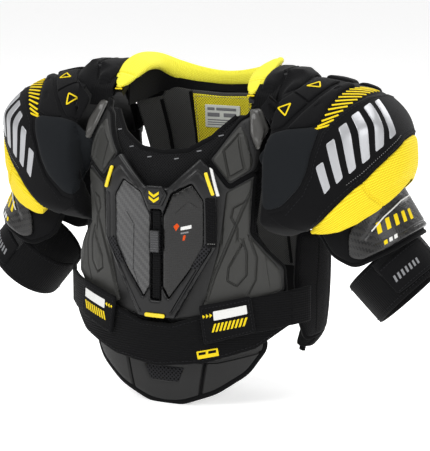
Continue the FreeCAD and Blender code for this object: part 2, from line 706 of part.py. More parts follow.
def caps():
    """Shoulder caps: foam domes, each with a hard insert, a hinge loop and biceps pivots."""
    cap_x, cap_z = size("cap_hinge_x"), size("cap_hinge_z")
    edge = size("cap_edge_x")
    foam = "cap_foam"
    under = "cap_foam - assembly_gap"
    below = f"{under} - insert_thick"
    near = size("guard_radius") - size("guard_foam") - PIN_INSET
    for name, side in SIDES.items():
        hollow = ellipsoid(f"cap_hollow_{name}", name, f"cap_reach - {foam}",
                           f"cap_depth - {foam}", f"cap_height - {foam}")
        mouth = doc.addObject("Part::Cylinder", f"cap_mouth_{name}")
        bind(mouth, Radius="cap_mouth")
        mouth.Height = MOUTH_LONG
        mouth.Placement = arm_placement(name).multiply(
            Placement(Vector(0, 0, -MOUTH_DEPTH), Rotation()))
        trim = trim_block(f"cap_trim_{name}", side, edge)
        away = fuse(f"cap_away_{name}", hollow, mouth, trim)
        keep(f"shoulder_cap_{name}", cut(f"cap_body_{name}", cap_outside(name), away))
        skins = [ellipsoid(f"insert_{word}_{name}", name, f"cap_reach - {depth}",
                           f"cap_depth - {depth}", f"cap_height - {depth}", low=low)
                 for word, depth, low in (("outer", under, 0), ("inner", below, -90))]
        skin = cut(f"insert_skin_{name}", *skins)
        inset = trim_block(f"insert_trim_{name}", side, edge + INSERT_SETBACK)
        keep(f"cap_insert_{name}", cut(f"insert_body_{name}", skin, inset))
        ends = (side * cap_x, CAP_LOOP[0], cap_z), (side * cap_x, CAP_LOOP[1], cap_z)
        loop = rod(f"cap_loop_rod_{name}", "loop_radius", *ends)
        low, high = span(side, cap_x, cap_x + CAP_TONGUE_REACH)
        tongue = slab(f"cap_tongue_{name}", (low, CAP_LOOP[0], cap_z + CAP_TONGUE_LOW),
                      (high, CAP_LOOP[1], cap_z + CAP_TONGUE_HIGH))
        solid = fuse(f"cap_loop_solid_{name}", loop, tongue)
        bore = rod(f"cap_loop_bore_{name}", LOOP_BORE, *ends)
        keep(f"cap_hinge_loop_{name}", cut(f"cap_loop_body_{name}", solid, bore))
        pins = [arm_pin(f"pivot_{name}_{word}", name, way, "pivot_radius", near,
                        size("cap_mouth") + PIN_REACH) for word, way in (("front", -1), ("rear", 1))]
        keep(f"biceps_pivots_{name}", fuse(f"pivot_pair_{name}", *pins))


def biceps():
    """Biceps guards: C-shaped pad, hard shield, arm cuff and the hook tab of its strap."""
    wrap, shield = size("guard_wrap"), size("shield_wrap")
    inside = size("guard_radius") - size("guard_foam")
    for name, side in SIDES.items():
        pad = arm_tube(f"guard_{name}", name, "guard_radius", "guard_radius - guard_foam",
                       "guard_top", "guard_length", -wrap / 2, wrap)
        bores = [arm_pin(f"pivot_bore_{name}_{word}", name, way, "pivot_radius + cord_clearance",
                         inside - BORE_MARGIN, inside + size("guard_foam") + BORE_MARGIN)
                 for word, way in (("front", -1), ("rear", 1))]
        keep(f"biceps_pad_{name}", cut(f"guard_body_{name}", pad,
                                       fuse(f"pivot_bores_{name}", *bores)))
        keep(f"biceps_shield_{name}", arm_tube(
            f"shield_{name}", name, "guard_radius + assembly_gap + shield_thick",
            "guard_radius + assembly_gap", "shield_top", "shield_length", -shield / 2, shield))
        keep(f"arm_cuff_{name}", arm_tube(f"cuff_{name}", name, "cuff_radius",
                                          "cuff_radius - cuff_thick", "cuff_top", "cuff_length",
                                          0, 360, cuff_hang()))
        start = -size("flap_root") if side > 0 else size("flap_root") - size("flap_wrap")
        keep(f"arm_strap_tab_{name}", arm_tube(
            f"flap_{name}", name, "cuff_radius + assembly_gap + flap_thick",
            "cuff_radius + assembly_gap", "flap_top", "flap_length", start, size("flap_wrap"),
            cuff_hang()))


chest()
waist_straps()
sternum()
slider()
belly()
back()
yoke()
chest_loops()
collar()
caps()
biceps()
doc.recompute()

# ---------------------------------------------------------------- checks and files

for obj in doc.Objects:
    if "Invalid" in obj.State or "Error" in obj.State:
        raise RuntimeError(f"{obj.Name} did not compute: {obj.State}")

os.makedirs("parts", exist_ok=True)
for node, obj in parts.items():
    shape = obj.Shape
    if shape.isNull() or not shape.isValid() or not shape.Solids:
        raise RuntimeError(f"{node} has no valid solid")
    shape.exportStep(os.path.join("parts", f"{node}.step"))
    print(node, len(shape.Solids), round(shape.Volume))
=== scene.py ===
"""Hockey shoulder pads: the soft goods, mouldings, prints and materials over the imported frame."""
import math

import bmesh
import bpy
import numpy as np
from mathutils import Matrix, Vector
from mathutils.bvhtree import BVHTree
from mathutils.geometry import delaunay_2d_cdt


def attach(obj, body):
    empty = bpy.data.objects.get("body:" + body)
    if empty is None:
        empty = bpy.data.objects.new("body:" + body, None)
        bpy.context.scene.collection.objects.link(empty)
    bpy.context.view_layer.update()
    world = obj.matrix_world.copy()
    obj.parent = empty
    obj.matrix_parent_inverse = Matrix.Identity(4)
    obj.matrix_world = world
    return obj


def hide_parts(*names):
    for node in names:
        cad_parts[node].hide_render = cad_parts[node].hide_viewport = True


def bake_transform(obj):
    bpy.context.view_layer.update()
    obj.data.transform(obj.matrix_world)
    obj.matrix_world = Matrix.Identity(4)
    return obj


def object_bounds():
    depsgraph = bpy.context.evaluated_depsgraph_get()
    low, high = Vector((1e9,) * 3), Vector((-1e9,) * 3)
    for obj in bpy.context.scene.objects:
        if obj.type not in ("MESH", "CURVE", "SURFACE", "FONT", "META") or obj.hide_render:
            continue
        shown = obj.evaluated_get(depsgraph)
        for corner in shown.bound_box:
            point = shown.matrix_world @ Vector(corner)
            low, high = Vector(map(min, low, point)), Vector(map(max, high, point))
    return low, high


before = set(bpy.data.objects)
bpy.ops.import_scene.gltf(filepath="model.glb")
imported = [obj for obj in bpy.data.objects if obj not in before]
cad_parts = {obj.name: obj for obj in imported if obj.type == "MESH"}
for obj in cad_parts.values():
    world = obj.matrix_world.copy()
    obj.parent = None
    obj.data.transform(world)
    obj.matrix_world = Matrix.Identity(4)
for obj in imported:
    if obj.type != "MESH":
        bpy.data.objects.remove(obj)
cad_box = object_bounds()
MM = 0.001
SIDES = {"left": 1, "right": -1}
FULL_TURN = 2 * math.pi

# ---------------------------------------------------------------- materials


def nodes_of(material):
    tree = material.node_tree
    return tree, tree.nodes["Principled BSDF"]


def add(tree, kind, **settings):
    node = tree.nodes.new(kind)
    for key, value in settings.items():
        setattr(node, key, value)
    return node


def srgb(red, green, blue):
    """Linear colour from 0-255 display values."""
    out = []
    for value in (red, green, blue):
        value = value / 255
        out.append(value / 12.92 if value < 0.04045 else ((value + 0.055) / 1.055) ** 2.4)
    return (*out, 1.0)


def math_node(tree, operation, first, second=None, third=None):
    node = add(tree, "ShaderNodeMath", operation=operation)
    for index, value in enumerate((first, second, third)):
        if value is None:
            continue
        if isinstance(value, (int, float)):
            node.inputs[index].default_value = value
        else:
            tree.links.new(value, node.inputs[index])
    return node.outputs[0]


def mix_colour(tree, factor, first, second):
    node = add(tree, "ShaderNodeMix", data_type="RGBA")
    for socket, value in ((node.inputs[0], factor), (node.inputs[6], first),
                          (node.inputs[7], second)):
        if isinstance(value, (int, float, tuple)):
            socket.default_value = value
        else:
            tree.links.new(value, socket)
    return node.outputs[2]


def noise(tree, coordinate, scale, detail=2.0, roughness=0.5):
    node = add(tree, "ShaderNodeTexNoise")
    node.inputs["Scale"].default_value = scale
    node.inputs["Detail"].default_value = detail
    node.inputs["Roughness"].default_value = roughness
    tree.links.new(coordinate, node.inputs["Vector"])
    return node.outputs["Fac"]


def axes(tree, use_uv):
    """Coordinates in metres along the surface: a piece's own chart, or the object's space."""
    coordinate = add(tree, "ShaderNodeTexCoord").outputs["UV" if use_uv else "Object"]
    split = add(tree, "ShaderNodeSeparateXYZ")
    tree.links.new(coordinate, split.inputs[0])
    if use_uv:
        return coordinate, split.outputs["X"], split.outputs["Y"]
    across = math_node(tree, "ADD", split.outputs["X"],
                       math_node(tree, "MULTIPLY", split.outputs["Y"], 0.8))
    return coordinate, across, split.outputs["Z"]


def wave(tree, value, pitch, phase=0.0):
    """A smooth 0..1 wave of the given pitch, in metres, along a coordinate."""
    turn = math_node(tree, "MULTIPLY", value, FULL_TURN / pitch)
    if phase:
        turn = math_node(tree, "ADD", turn, phase)
    return math_node(tree, "MULTIPLY_ADD", math_node(tree, "SINE", turn), 0.5, 0.5)


def bump(tree, shader, height, strength, distance=0.001):
    node = add(tree, "ShaderNodeBump")
    node.inputs["Strength"].default_value = strength
    node.inputs["Distance"].default_value = distance
    tree.links.new(height, node.inputs["Height"])
    tree.links.new(node.outputs["Normal"], shader.inputs["Normal"])


def new_material(name, roughness, sheen=0.0, coat=0.0, specular=0.5):
    material = bpy.data.materials.new(name)
    material.use_nodes = True
    tree, shader = nodes_of(material)
    shader.inputs["Roughness"].default_value = roughness
    shader.inputs["Sheen Weight"].default_value = sheen
    shader.inputs["Sheen Roughness"].default_value = 0.4
    shader.inputs["Coat Weight"].default_value = coat
    shader.inputs["Coat Roughness"].default_value = 0.16
    shader.inputs["Specular IOR Level"].default_value = specular
    return material, tree, shader


MOTTLE = 0.25


def shade(tree, shader, coordinate, base, dark, mask):
    """Base colour: the dark tone in the hollows of a pattern, with slow uneven fading."""
    patterned = mix_colour(tree, mask, dark, base)
    cloud = noise(tree, coordinate, 38.0, 3.0)
    faded = tuple(min(1.0, value * (1 + MOTTLE)) for value in base[:3]) + (1.0,)
    amount = math_node(tree, "MULTIPLY", cloud, 0.6)
    tree.links.new(mix_colour(tree, amount, patterned, mix_colour(tree, mask, dark, faded)),
                   shader.inputs["Base Color"])


def woven(name, base, dark, pitch=0.0016, roughness=0.85, sheen=0.06, strength=0.5, use_uv=True,
          ribs=0.0):
    """Plain woven or softshell cloth; ribs adds wider ribs of that pitch along one way."""
    material, tree, shader = new_material(name, roughness, sheen=sheen, specular=0.09)
    coordinate, across, along = axes(tree, use_uv)
    weave = math_node(tree, "MULTIPLY", wave(tree, across, pitch), wave(tree, along, pitch))
    height = weave
    if ribs:
        height = math_node(tree, "ADD", math_node(tree, "MULTIPLY", weave, 0.35),
                           wave(tree, along, ribs))
    fuzz = noise(tree, coordinate, 900.0, 2.0)
    height = math_node(tree, "MULTIPLY_ADD", fuzz, 0.4, height)
    shade(tree, shader, coordinate, base, dark, weave)
    bump(tree, shader, height, strength, 0.0006)
    return material


def netting(name, base, hole, pitch=0.0032, strength=0.8):
    """Spacer or athletic mesh: staggered round holes in a knitted face."""
    material, tree, shader = new_material(name, 0.8, sheen=0.05, specular=0.09)
    coordinate, across, along = axes(tree, True)
    first = math_node(tree, "MULTIPLY", wave(tree, across, pitch), wave(tree, along, pitch))
    second = math_node(tree, "MULTIPLY", wave(tree, across, pitch, math.pi),
                       wave(tree, along, pitch, math.pi))
    holes = math_node(tree, "MAXIMUM", first, second)
    solid = add(tree, "ShaderNodeMapRange", interpolation_type="SMOOTHSTEP")
    solid.inputs["From Min"].default_value = 0.75
    solid.inputs["From Max"].default_value = 0.45
    tree.links.new(holes, solid.inputs["Value"])
    shade(tree, shader, coordinate, base, hole, solid.outputs["Result"])
    fuzz = noise(tree, coordinate, 1200.0, 2.0)
    bump(tree, shader, math_node(tree, "MULTIPLY_ADD", fuzz, 0.3, solid.outputs["Result"]),
         strength, 0.0009)
    return material


def moulded(name, base, edge_highlight, roughness=0.5, coat=0.0, grain=1600.0, strength=0.12, ridge=0.0,
            metal=0.0):
    """Moulded foam or plastic: fine grain, slow colour drift, painted highlight on sharp edges."""
    material, tree, shader = new_material(name, roughness, coat=coat, specular=0.26)
    shader.inputs["Metallic"].default_value = metal
    coordinate, _, along = axes(tree, False)
    pits = noise(tree, coordinate, grain, 3.0, 0.7)
    cloud = noise(tree, coordinate, 22.0, 4.0)
    # Painted highlight: sharp edges found by Pointiness take the paler highlight colour, patchily.
    edge = add(tree, "ShaderNodeMapRange", interpolation_type="SMOOTHSTEP")
    edge.inputs["From Min"].default_value = 0.54
    edge.inputs["From Max"].default_value = 0.70
    tree.links.new(add(tree, "ShaderNodeNewGeometry").outputs["Pointiness"],
                   edge.inputs["Value"])
    highlight_amount = math_node(tree, "MULTIPLY", edge.outputs["Result"],
                        math_node(tree, "MULTIPLY_ADD", cloud, 0.7, 0.25))
    darker = tuple(value * 0.72 for value in base[:3]) + (1.0,)
    body = mix_colour(tree, math_node(tree, "MULTIPLY", cloud, 0.9), darker, base)
    tree.links.new(mix_colour(tree, highlight_amount, body, edge_highlight), shader.inputs["Base Color"])
    tree.links.new(math_node(tree, "MULTIPLY_ADD", pits, 0.18, roughness - 0.09),
                   shader.inputs["Roughness"])
    height = pits
    if ridge:
        height = math_node(tree, "ADD", math_node(tree, "MULTIPLY", pits, 0.2),
                           wave(tree, along, ridge))
    bump(tree, shader, height, strength, 0.0005)
    return material


TOW = 0.0024


def composite(name, base, dark, coat=0.3):
    """Clear-coated twill: tows step sideways from row to row, each with its own sheen."""
    material, tree, shader = new_material(name, 0.4, coat=coat, specular=0.25)
    coordinate, across, along = axes(tree, True)
    column = math_node(tree, "FLOOR", math_node(tree, "MULTIPLY", across, 1 / TOW))
    row = math_node(tree, "FLOOR", math_node(tree, "MULTIPLY", along, 1 / TOW))
    step = math_node(tree, "FLOORED_MODULO", math_node(tree, "ADD", column, row), 4.0)
    warp = math_node(tree, "LESS_THAN", step, 1.5)
    thread_x = wave(tree, across, TOW)
    thread_y = wave(tree, along, TOW)
    height = add(tree, "ShaderNodeMix", data_type="FLOAT")
    for socket, value in ((0, warp), (2, thread_x), (3, thread_y)):
        tree.links.new(value, height.inputs[socket])
    fibre = noise(tree, coordinate, 1500.0, 2.0)
    tone = math_node(tree, "MULTIPLY_ADD", warp, 0.4, math_node(tree, "MULTIPLY", fibre, 0.4))
    tree.links.new(mix_colour(tree, tone, dark, base), shader.inputs["Base Color"])
    tree.links.new(math_node(tree, "MULTIPLY_ADD", warp, 0.12, 0.26), shader.inputs["Roughness"])
    bump(tree, shader, height.outputs[0], 0.35, 0.0004)
    return material


def printed(name, base, dark, roughness=0.6):
    """Flat ink: a weave too fine to see, without sheen."""
    return woven(name, base, dark, pitch=0.0009, roughness=roughness, sheen=0.0, strength=0.15)


YELLOW = srgb(241, 224, 58)
YELLOW_DEEP = srgb(206, 178, 26)
BLACK = srgb(18, 18, 20)
SOFT_BLACK = srgb(10, 10, 11)
# The third colour of each moulded material is its painted edge highlight.
MAT = {
    "softshell": woven("softshell_black", BLACK, SOFT_BLACK, strength=0.35),
    "softshell_body": woven("softshell_shell", BLACK, SOFT_BLACK, strength=0.35, use_uv=False),
    "navy": woven("softshell_blue_black", srgb(29, 31, 34), srgb(18, 20, 22), pitch=0.0013,
                  strength=0.25),
    "strip": woven("strip_black", srgb(15, 15, 17), srgb(8, 8, 9), pitch=0.0012,
                   strength=0.3),
    "yellow_knit": woven("yellow_knit", YELLOW, YELLOW_DEEP, pitch=0.0022, ribs=0.0030,
                         strength=0.5, roughness=0.75),
    "yellow_collar": woven("yellow_collar", srgb(240, 236, 92), srgb(214, 204, 50),
                           pitch=0.0016, ribs=0.0026, strength=0.5, roughness=0.8),
    "yellow_patch": netting("yellow_patch", srgb(226, 212, 52), srgb(150, 136, 22)),
    "yellow_print": printed("yellow_print", srgb(232, 208, 34), srgb(206, 178, 20), 0.5),
    "yellow_gloss": moulded("yellow_rubber", srgb(238, 210, 30), srgb(250, 232, 96),
                            roughness=0.38, coat=0.3),
    "silver_print": moulded("silver_print", srgb(176, 177, 180), srgb(226, 226, 228),
                            roughness=0.32, grain=700.0, metal=0.45),
    "white_print": printed("white_print", srgb(222, 222, 220), srgb(196, 196, 194)),
    "grey_print": printed("grey_print", srgb(138, 139, 141), srgb(108, 109, 111)),
    "orange_print": printed("orange_print", srgb(216, 84, 26), srgb(180, 62, 16)),
    "mesh": netting("mesh_black", srgb(22, 22, 23), srgb(4, 4, 5)),
    "vent": netting("vent_mesh", srgb(36, 36, 38), srgb(5, 5, 5), pitch=0.0046),
    "liner": netting("liner_grey", srgb(72, 72, 71), srgb(44, 44, 43), pitch=0.0026,
                     strength=0.5),
    "eva": moulded("moulded_grey", srgb(52, 52, 50), srgb(86, 86, 83), roughness=0.5,
                   strength=0.2),
    "eva_dark": moulded("moulded_dark", srgb(30, 30, 30), srgb(58, 58, 57), roughness=0.46,
                        strength=0.2),
    "guard": moulded("guard_grey", srgb(70, 69, 67), srgb(170, 170, 166), roughness=0.34,
                     coat=0.2),
    "plastic": moulded("plastic_black", srgb(13, 13, 14), srgb(50, 50, 51), roughness=0.34,
                       coat=0.12, grain=2200.0),
    "binding": woven("binding_black", srgb(14, 14, 15), srgb(6, 6, 7), pitch=0.0014,
                     strength=0.5),
    "elastic": woven("elastic_black", srgb(16, 16, 17), srgb(7, 7, 8), pitch=0.0012,
                     ribs=0.0026, strength=0.6),
    "webbing": woven("webbing_black", srgb(17, 17, 18), srgb(6, 6, 7), pitch=0.0022,
                     ribs=0.0030, strength=0.8),
    "hook": woven("hook_black", srgb(21, 21, 23), srgb(8, 8, 9), pitch=0.0010, strength=0.9,
                  sheen=0.2),
    "thread": woven("thread_black", srgb(44, 44, 47), srgb(24, 24, 26), pitch=0.0008,
                    use_uv=False),
    "thread_pale": woven("thread_pale", srgb(158, 158, 156), srgb(110, 110, 108),
                         pitch=0.0008, use_uv=False),
    "carbon_black": composite("composite_black", srgb(27, 26, 25), srgb(8, 8, 8), coat=0.25),
    "carbon_dark": composite("composite_dark", srgb(40, 39, 38), srgb(11, 11, 12), coat=0.3),
    "carbon_grey": composite("composite_grey", srgb(80, 80, 80), srgb(46, 46, 47), coat=0.3),
    "label": woven("label_white", srgb(226, 228, 222), srgb(198, 201, 193), pitch=0.0011,
                   strength=0.3),
    "webbing_body": woven("webbing_hinges", srgb(32, 32, 34), srgb(14, 14, 16), pitch=0.0018,
                          ribs=0.0028, use_uv=False),
    "slider": moulded("slider_ribbed", srgb(24, 24, 26), srgb(58, 58, 60), roughness=0.34,
                      ridge=0.0026, strength=0.9),
}

# ---------------------------------------------------------------- surfaces, in millimetres
# A chart is a function that turns two coordinates and a height into a point. x and z are
# the chart of the torso; on the caps and arms it is an angle and a distance.


def hermite(t, span, values, slopes, i):
    """The smooth curve from entry i of a row of values to the next, t from 0 to 1."""
    return ((2 * t**3 - 3 * t**2 + 1) * values[i] + (t**3 - 2 * t**2 + t) * span * slopes[i]
            + (3 * t**2 - 2 * t**3) * values[i + 1] + (t**3 - t**2) * span * slopes[i + 1])


class Torso:
    """Half of the lofted torso: ellipses at heights, joined by a smooth curve."""

    def __init__(self, stations, middle, way):
        self.heights, self.widths, self.depths = (np.array(row, float) for row in zip(*stations))
        self.middle, self.way = middle, way

    def smooth(self, values, z):
        z = min(max(z, self.heights[0]), self.heights[-1])
        i = int(min(max(np.searchsorted(self.heights, z) - 1, 0), len(values) - 2))
        span = self.heights[i + 1] - self.heights[i]
        slopes = np.gradient(values, self.heights)
        return hermite((z - self.heights[i]) / span, span, values, slopes, i)

    def radii(self, z):
        return self.smooth(self.widths, z), self.smooth(self.depths, z)

    def point(self, x, z, lift, drawn):
        """The point at a lift off the ellipse whose outline was drawn at another lift."""
        wide, deep = self.radii(z)
        s = max(-0.9999, min(0.9999, x / (wide + drawn)))
        return Vector(((wide + lift) * s,
                       self.middle + self.way * (deep + lift) * math.sqrt(1 - s * s), z))


FRONT = Torso([(-350, 124, 86), (-290, 129, 91), (-220, 130, 90), (-130, 130, 88),
               (-75, 129, 87), (-40, 122, 79), (-12, 109, 60), (6, 99, 46)], 0, -1)
BACK_MIDDLE = 20
BACK = Torso([(-305, 131, 46), (-230, 138, 53), (-120, 138, 54), (-50, 132, 51),
              (-10, 124, 48), (10, 116, 46)], BACK_MIDDLE, 1)


def on_front(base, thick):
    """Chart of the front: x and z drawn at the outside of a layer, and height above its inside."""
    return lambda x, z, height: FRONT.point(x, z, base + height, base + thick)


def on_back(base, thick):
    return lambda x, z, height: BACK.point(x, z, base + height, base + thick)


def inside_back(base):
    """The same for a layer seen from inside the back: heights grow towards the wearer."""
    return lambda x, z, height: BACK.point(x, z, base - height, base)


# ---------------------------------------------------------------- mesh building


def finish_mesh(name, points, faces, material, body, uvs=None, sharp=38.0):
    """An object of its own from points in millimetres, riding on a body unless it is None."""
    mesh = bpy.data.meshes.new(name)
    mesh.from_pydata([tuple(Vector(p) * MM) for p in points], [], faces)
    work = bmesh.new()
    work.from_mesh(mesh)
    bmesh.ops.dissolve_degenerate(work, dist=1e-6, edges=work.edges)
    bmesh.ops.recalc_face_normals(work, faces=work.faces)
    work.to_mesh(mesh)
    work.free()
    if uvs is not None and len(mesh.vertices) == len(points):
        layer = mesh.uv_layers.new(name="chart")
        for loop in mesh.loops:
            u, v = uvs[loop.vertex_index]
            layer.data[loop.index].uv = (u * MM, v * MM)
    mesh.shade_smooth()
    mesh.set_sharp_from_angle(angle=math.radians(sharp))
    mesh.materials.append(MAT[material])
    made = bpy.data.objects.new(name, mesh)
    bpy.context.scene.collection.objects.link(made)
    if body:
        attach(made, body)
    return made


def mirror(points):
    """A symmetrical outline from its half on the wearer's left."""
    return points + [(-x, z) for x, z in reversed(points) if x > 0]


def flip(points, side):
    return [(side * x, z) for x, z in points]


def flipped(creases, side):
    return [(flip(line, side), *rest) for line, *rest in creases]


def mirrored(creases):
    """The creases on both sides."""
    return [crease for side in SIDES.values() for crease in flipped(creases, side)]


def soften(points, radius):
    """Rounds every corner of a closed outline with a short curve."""
    out = []
    count = len(points)
    for index in range(count):
        before, here, after = (Vector(points[(index + k) % count]) for k in (-1, 0, 1))
        a = before - here
        b = after - here
        reach = min(radius, a.length * 0.45, b.length * 0.45)
        if reach < 0.05 or a.length == 0 or b.length == 0:
            out.append(tuple(here))
            continue
        p, q = here + a.normalized() * reach, here + b.normalized() * reach
        for t in (0.0, 0.25, 0.5, 0.75, 1.0):
            out.append(tuple(p * (1 - t) ** 2 + here * 2 * t * (1 - t) + q * t * t))
    return out


def densify(points, step, closed=True):
    out = []
    ends = points[1:] + points[:1] if closed else points[1:]
    for start, end in zip(points, ends):
        a, b = np.array(start, float), np.array(end, float)
        count = max(1, int(math.ceil(np.linalg.norm(b - a) / step)))
        out += [tuple(a + (b - a) * k / count) for k in range(count)]
    if not closed:
        out.append(tuple(points[-1]))
    return out


def line_distance(spots, line, closed=False):
    """Distance of each spot to a polyline, in the chart."""
    spots = np.asarray(spots, float)
    line = np.asarray(line, float)
    starts = line
    ends = np.roll(line, -1, axis=0)
    if not closed:
        starts, ends = line[:-1], line[1:]
    best = np.full(len(spots), 1e9)
    for a, b in zip(starts, ends):
        d = b - a
        length = max(float(d @ d), 1e-9)
        t = np.clip(((spots - a) @ d) / length, 0, 1)
        best = np.minimum(best, np.linalg.norm(spots - (a + t[:, None] * d), axis=1))
    return best


def inside(spots, outline):
    spots = np.asarray(spots, float)
    x, y = spots[:, 0], spots[:, 1]
    result = np.zeros(len(spots), bool)
    for (x1, y1), (x2, y2) in zip(outline, outline[1:] + outline[:1]):
        if y1 == y2:
            continue
        crosses = (y1 > y) != (y2 > y)
        result ^= crosses & (x < (x2 - x1) * (y - y1) / (y2 - y1) + x1)
    return result


def ramp(value, low, high):
    t = np.clip((value - low) / (high - low), 0, 1)
    return t * t * (3 - 2 * t)


def offset_line(line, gap, closed=False):
    """Points of a polyline moved sideways in the chart."""
    line = np.asarray(line, float)
    if closed:
        tangent = np.roll(line, -1, axis=0) - np.roll(line, 1, axis=0)
    else:
        tangent = np.gradient(line, axis=0)
    tangent /= np.maximum(np.linalg.norm(tangent, axis=1, keepdims=True), 1e-9)
    side = np.stack([-tangent[:, 1], tangent[:, 0]], 1)
    return line + side * gap


RIM_ROWS = (0.12, 0.45, 1.0)
CREASE_ROWS = (-1, -0.4, 0.4, 1)
MERGE_GAP = 0.08


def keep_clear(points, gap, rims):
    """The points inside the first rim and outside the holes, at least a gap from each."""
    points = np.asarray(points, float)
    if not len(points):
        return points
    ok = inside(points, rims[0])
    for hole in rims[1:]:
        ok &= ~inside(points, hole)
    for rim in rims:
        ok &= line_distance(points, rim, True) > gap
    return points[ok]


def loose_points(rims, traced, step, edge):
    """Rows beside every rim and traced line, then a staggered grid over the rest."""
    rows = []
    for rim in rims:
        for share in RIM_ROWS:
            for way in (-1, 1):
                moved = offset_line(rim, way * edge * share, True)
                rows.append(keep_clear(moved, edge * share * 0.9, rims))
    for line, closed, half, _ in traced:
        for share in CREASE_ROWS:
            rows.append(keep_clear(offset_line(line, half * share, closed), 0.35, rims))
    low, high = np.min(rims[0], axis=0), np.max(rims[0], axis=0)
    across = np.arange(low[0] + step / 2, high[0], step)
    up = np.arange(low[1] + step / 2, high[1], step * 0.87)
    grid = [(x + (step / 2 if k % 2 else 0), y) for k, y in enumerate(up) for x in across]
    grid = keep_clear(grid, max(edge * 1.15, step * 0.5), rims)
    for line, closed, half, _ in traced:
        if len(grid):
            grid = grid[line_distance(grid, line, closed) > half + step * 0.4]
    return [Vector(point) for row in (*rows, grid) for point in row]


def triangulate(rims, loose):
    """Chart points and the Delaunay triangles between the rims."""
    spots, links = [], []
    for rim in rims:
        first = len(spots)
        spots += [Vector(point) for point in rim]
        links += [(first + k, first + (k + 1) % len(rim)) for k in range(len(rim))]
    flat, _, triangles, *_ = delaunay_2d_cdt(spots + loose, links, [], 0, MERGE_GAP)
    flat = np.array([tuple(p) for p in flat])
    triangles = np.array([tuple(t) for t in triangles])
    middle = flat[triangles].mean(axis=1)
    keep = inside(middle, rims[0])
    for hole in rims[1:]:
        keep &= ~inside(middle, hole)
    return flat, triangles[keep]


def sheet_faces(triangles, count):
    """Closed faces of a sheet whose underside repeats its count of points."""
    faces = [tuple(t) for t in triangles] + [tuple(t[::-1] + count) for t in triangles]
    used = dict.fromkeys((a, b) for tri in triangles for a, b in zip(tri, np.roll(tri, -1)))
    return faces + [(b, a, a + count, b + count) for a, b in used if (b, a) not in used]


def panel(name, outline, place, thick, material, body, step=4.0, edge=2.5, corner=2.0,
          holes=(), creases=(), zones=(), crown=0.0, lip=0.35, wave_relief=None):
    """A sheet with a rounded edge over a chart, with creases, raised or sunk zones and a crown.

    creases: (line, closed, half width, height); zones: (outline, height, slope width).
    """
    rims = [densify(soften(rim, corner), step) for rim in (outline, *holes)]
    fine = min(step, 2.5)
    creases = [(densify(line, fine, closed), closed, half, depth)
               for line, closed, half, depth in creases]
    borders = [(densify(line, fine), True, slope / 2, 0.0) for line, _, slope in zones]
    flat, triangles = triangulate(rims, loose_points(rims, creases + borders, step, edge))
    rim_distance = np.min([line_distance(flat, rim, True) for rim in rims], axis=0)
    t = np.clip(rim_distance / edge, 0, 1)
    height = thick * (lip + (1 - lip) * np.sqrt(1 - (1 - t) ** 2))
    height += crown * (1 - np.exp(-rim_distance / max(edge * 3, 6)))
    for line, closed, half, depth in creases:
        height += depth * (1 - ramp(line_distance(flat, line, closed), half * 0.4, half))
    for line, rise, slope in zones:
        signed = line_distance(flat, line, True) * np.where(inside(flat, line), 1, -1)
        height += rise * ramp(signed, -slope / 2, slope / 2)
    if wave_relief:
        height += wave_relief(flat) * t
    points = [place(u, v, h) for (u, v), h in zip(flat, height)]
    points += [place(u, v, 0.0) for u, v in flat]
    faces = sheet_faces(triangles, len(flat))
    live = sorted({index for face in faces for index in face})
    order = {old: new for new, old in enumerate(live)}
    faces = [tuple(order[int(i)] for i in face) for face in faces]
    uvs = [tuple(flat[i % len(flat)]) for i in live]
    return finish_mesh(name, [points[i] for i in live], faces, material, body, uvs=uvs)


def surface_line(place, line, height, closed=False, step=2.0):
    """Points and normals of a chart line lifted off a surface."""
    line = densify(line, step, closed)
    here, up = [], []
    for u, v in line:
        p = place(u, v, height)
        a = place(u + 0.5, v, height) - place(u - 0.5, v, height)
        b = place(u, v + 0.5, height) - place(u, v - 0.5, height)
        n = a.cross(b).normalized()
        if n.dot(place(u, v, height + 1.0) - p) < 0:
            n = -n
        here.append(p)
        up.append(n)
    return here, up


TAPE_SIDES = 12


def tape(name, path, width, thick, material, body, closed=False, bulge=0.5):
    """A strip with rounded long edges swept along points and normals."""
    here, up = path
    count = len(here)
    half = width / 2
    profile = []
    for k in range(TAPE_SIDES):
        angle = FULL_TURN * k / TAPE_SIDES
        c, s = math.cos(angle), math.sin(angle)
        profile.append((half * math.copysign(abs(c) ** bulge, c),
                        thick / 2 * math.copysign(abs(s) ** bulge, s)))
    points, faces, uvs = [], [], []
    run = 0.0
    for k in range(count):
        before = here[k - 1] if (k or closed) else here[0]
        after = here[(k + 1) % count] if (k < count - 1 or closed) else here[-1]
        along = (after - before).normalized()
        side = along.cross(up[k]).normalized()
        if k:
            run += (here[k] - here[k - 1]).length
        for a, b in profile:
            points.append(here[k] + side * a + up[k] * b)
            uvs.append((a + b, run))
    ring = TAPE_SIDES
    for k in range(count if closed else count - 1):
        n = (k + 1) % count
        for j in range(ring):
            m = (j + 1) % ring
            faces.append((k * ring + j, k * ring + m, n * ring + m, n * ring + j))
    if not closed:
        faces.append(tuple(range(ring))[::-1])
        faces.append(tuple(range((count - 1) * ring, count * ring)))
    return finish_mesh(name, points, faces, material, body, uvs=uvs, sharp=60)


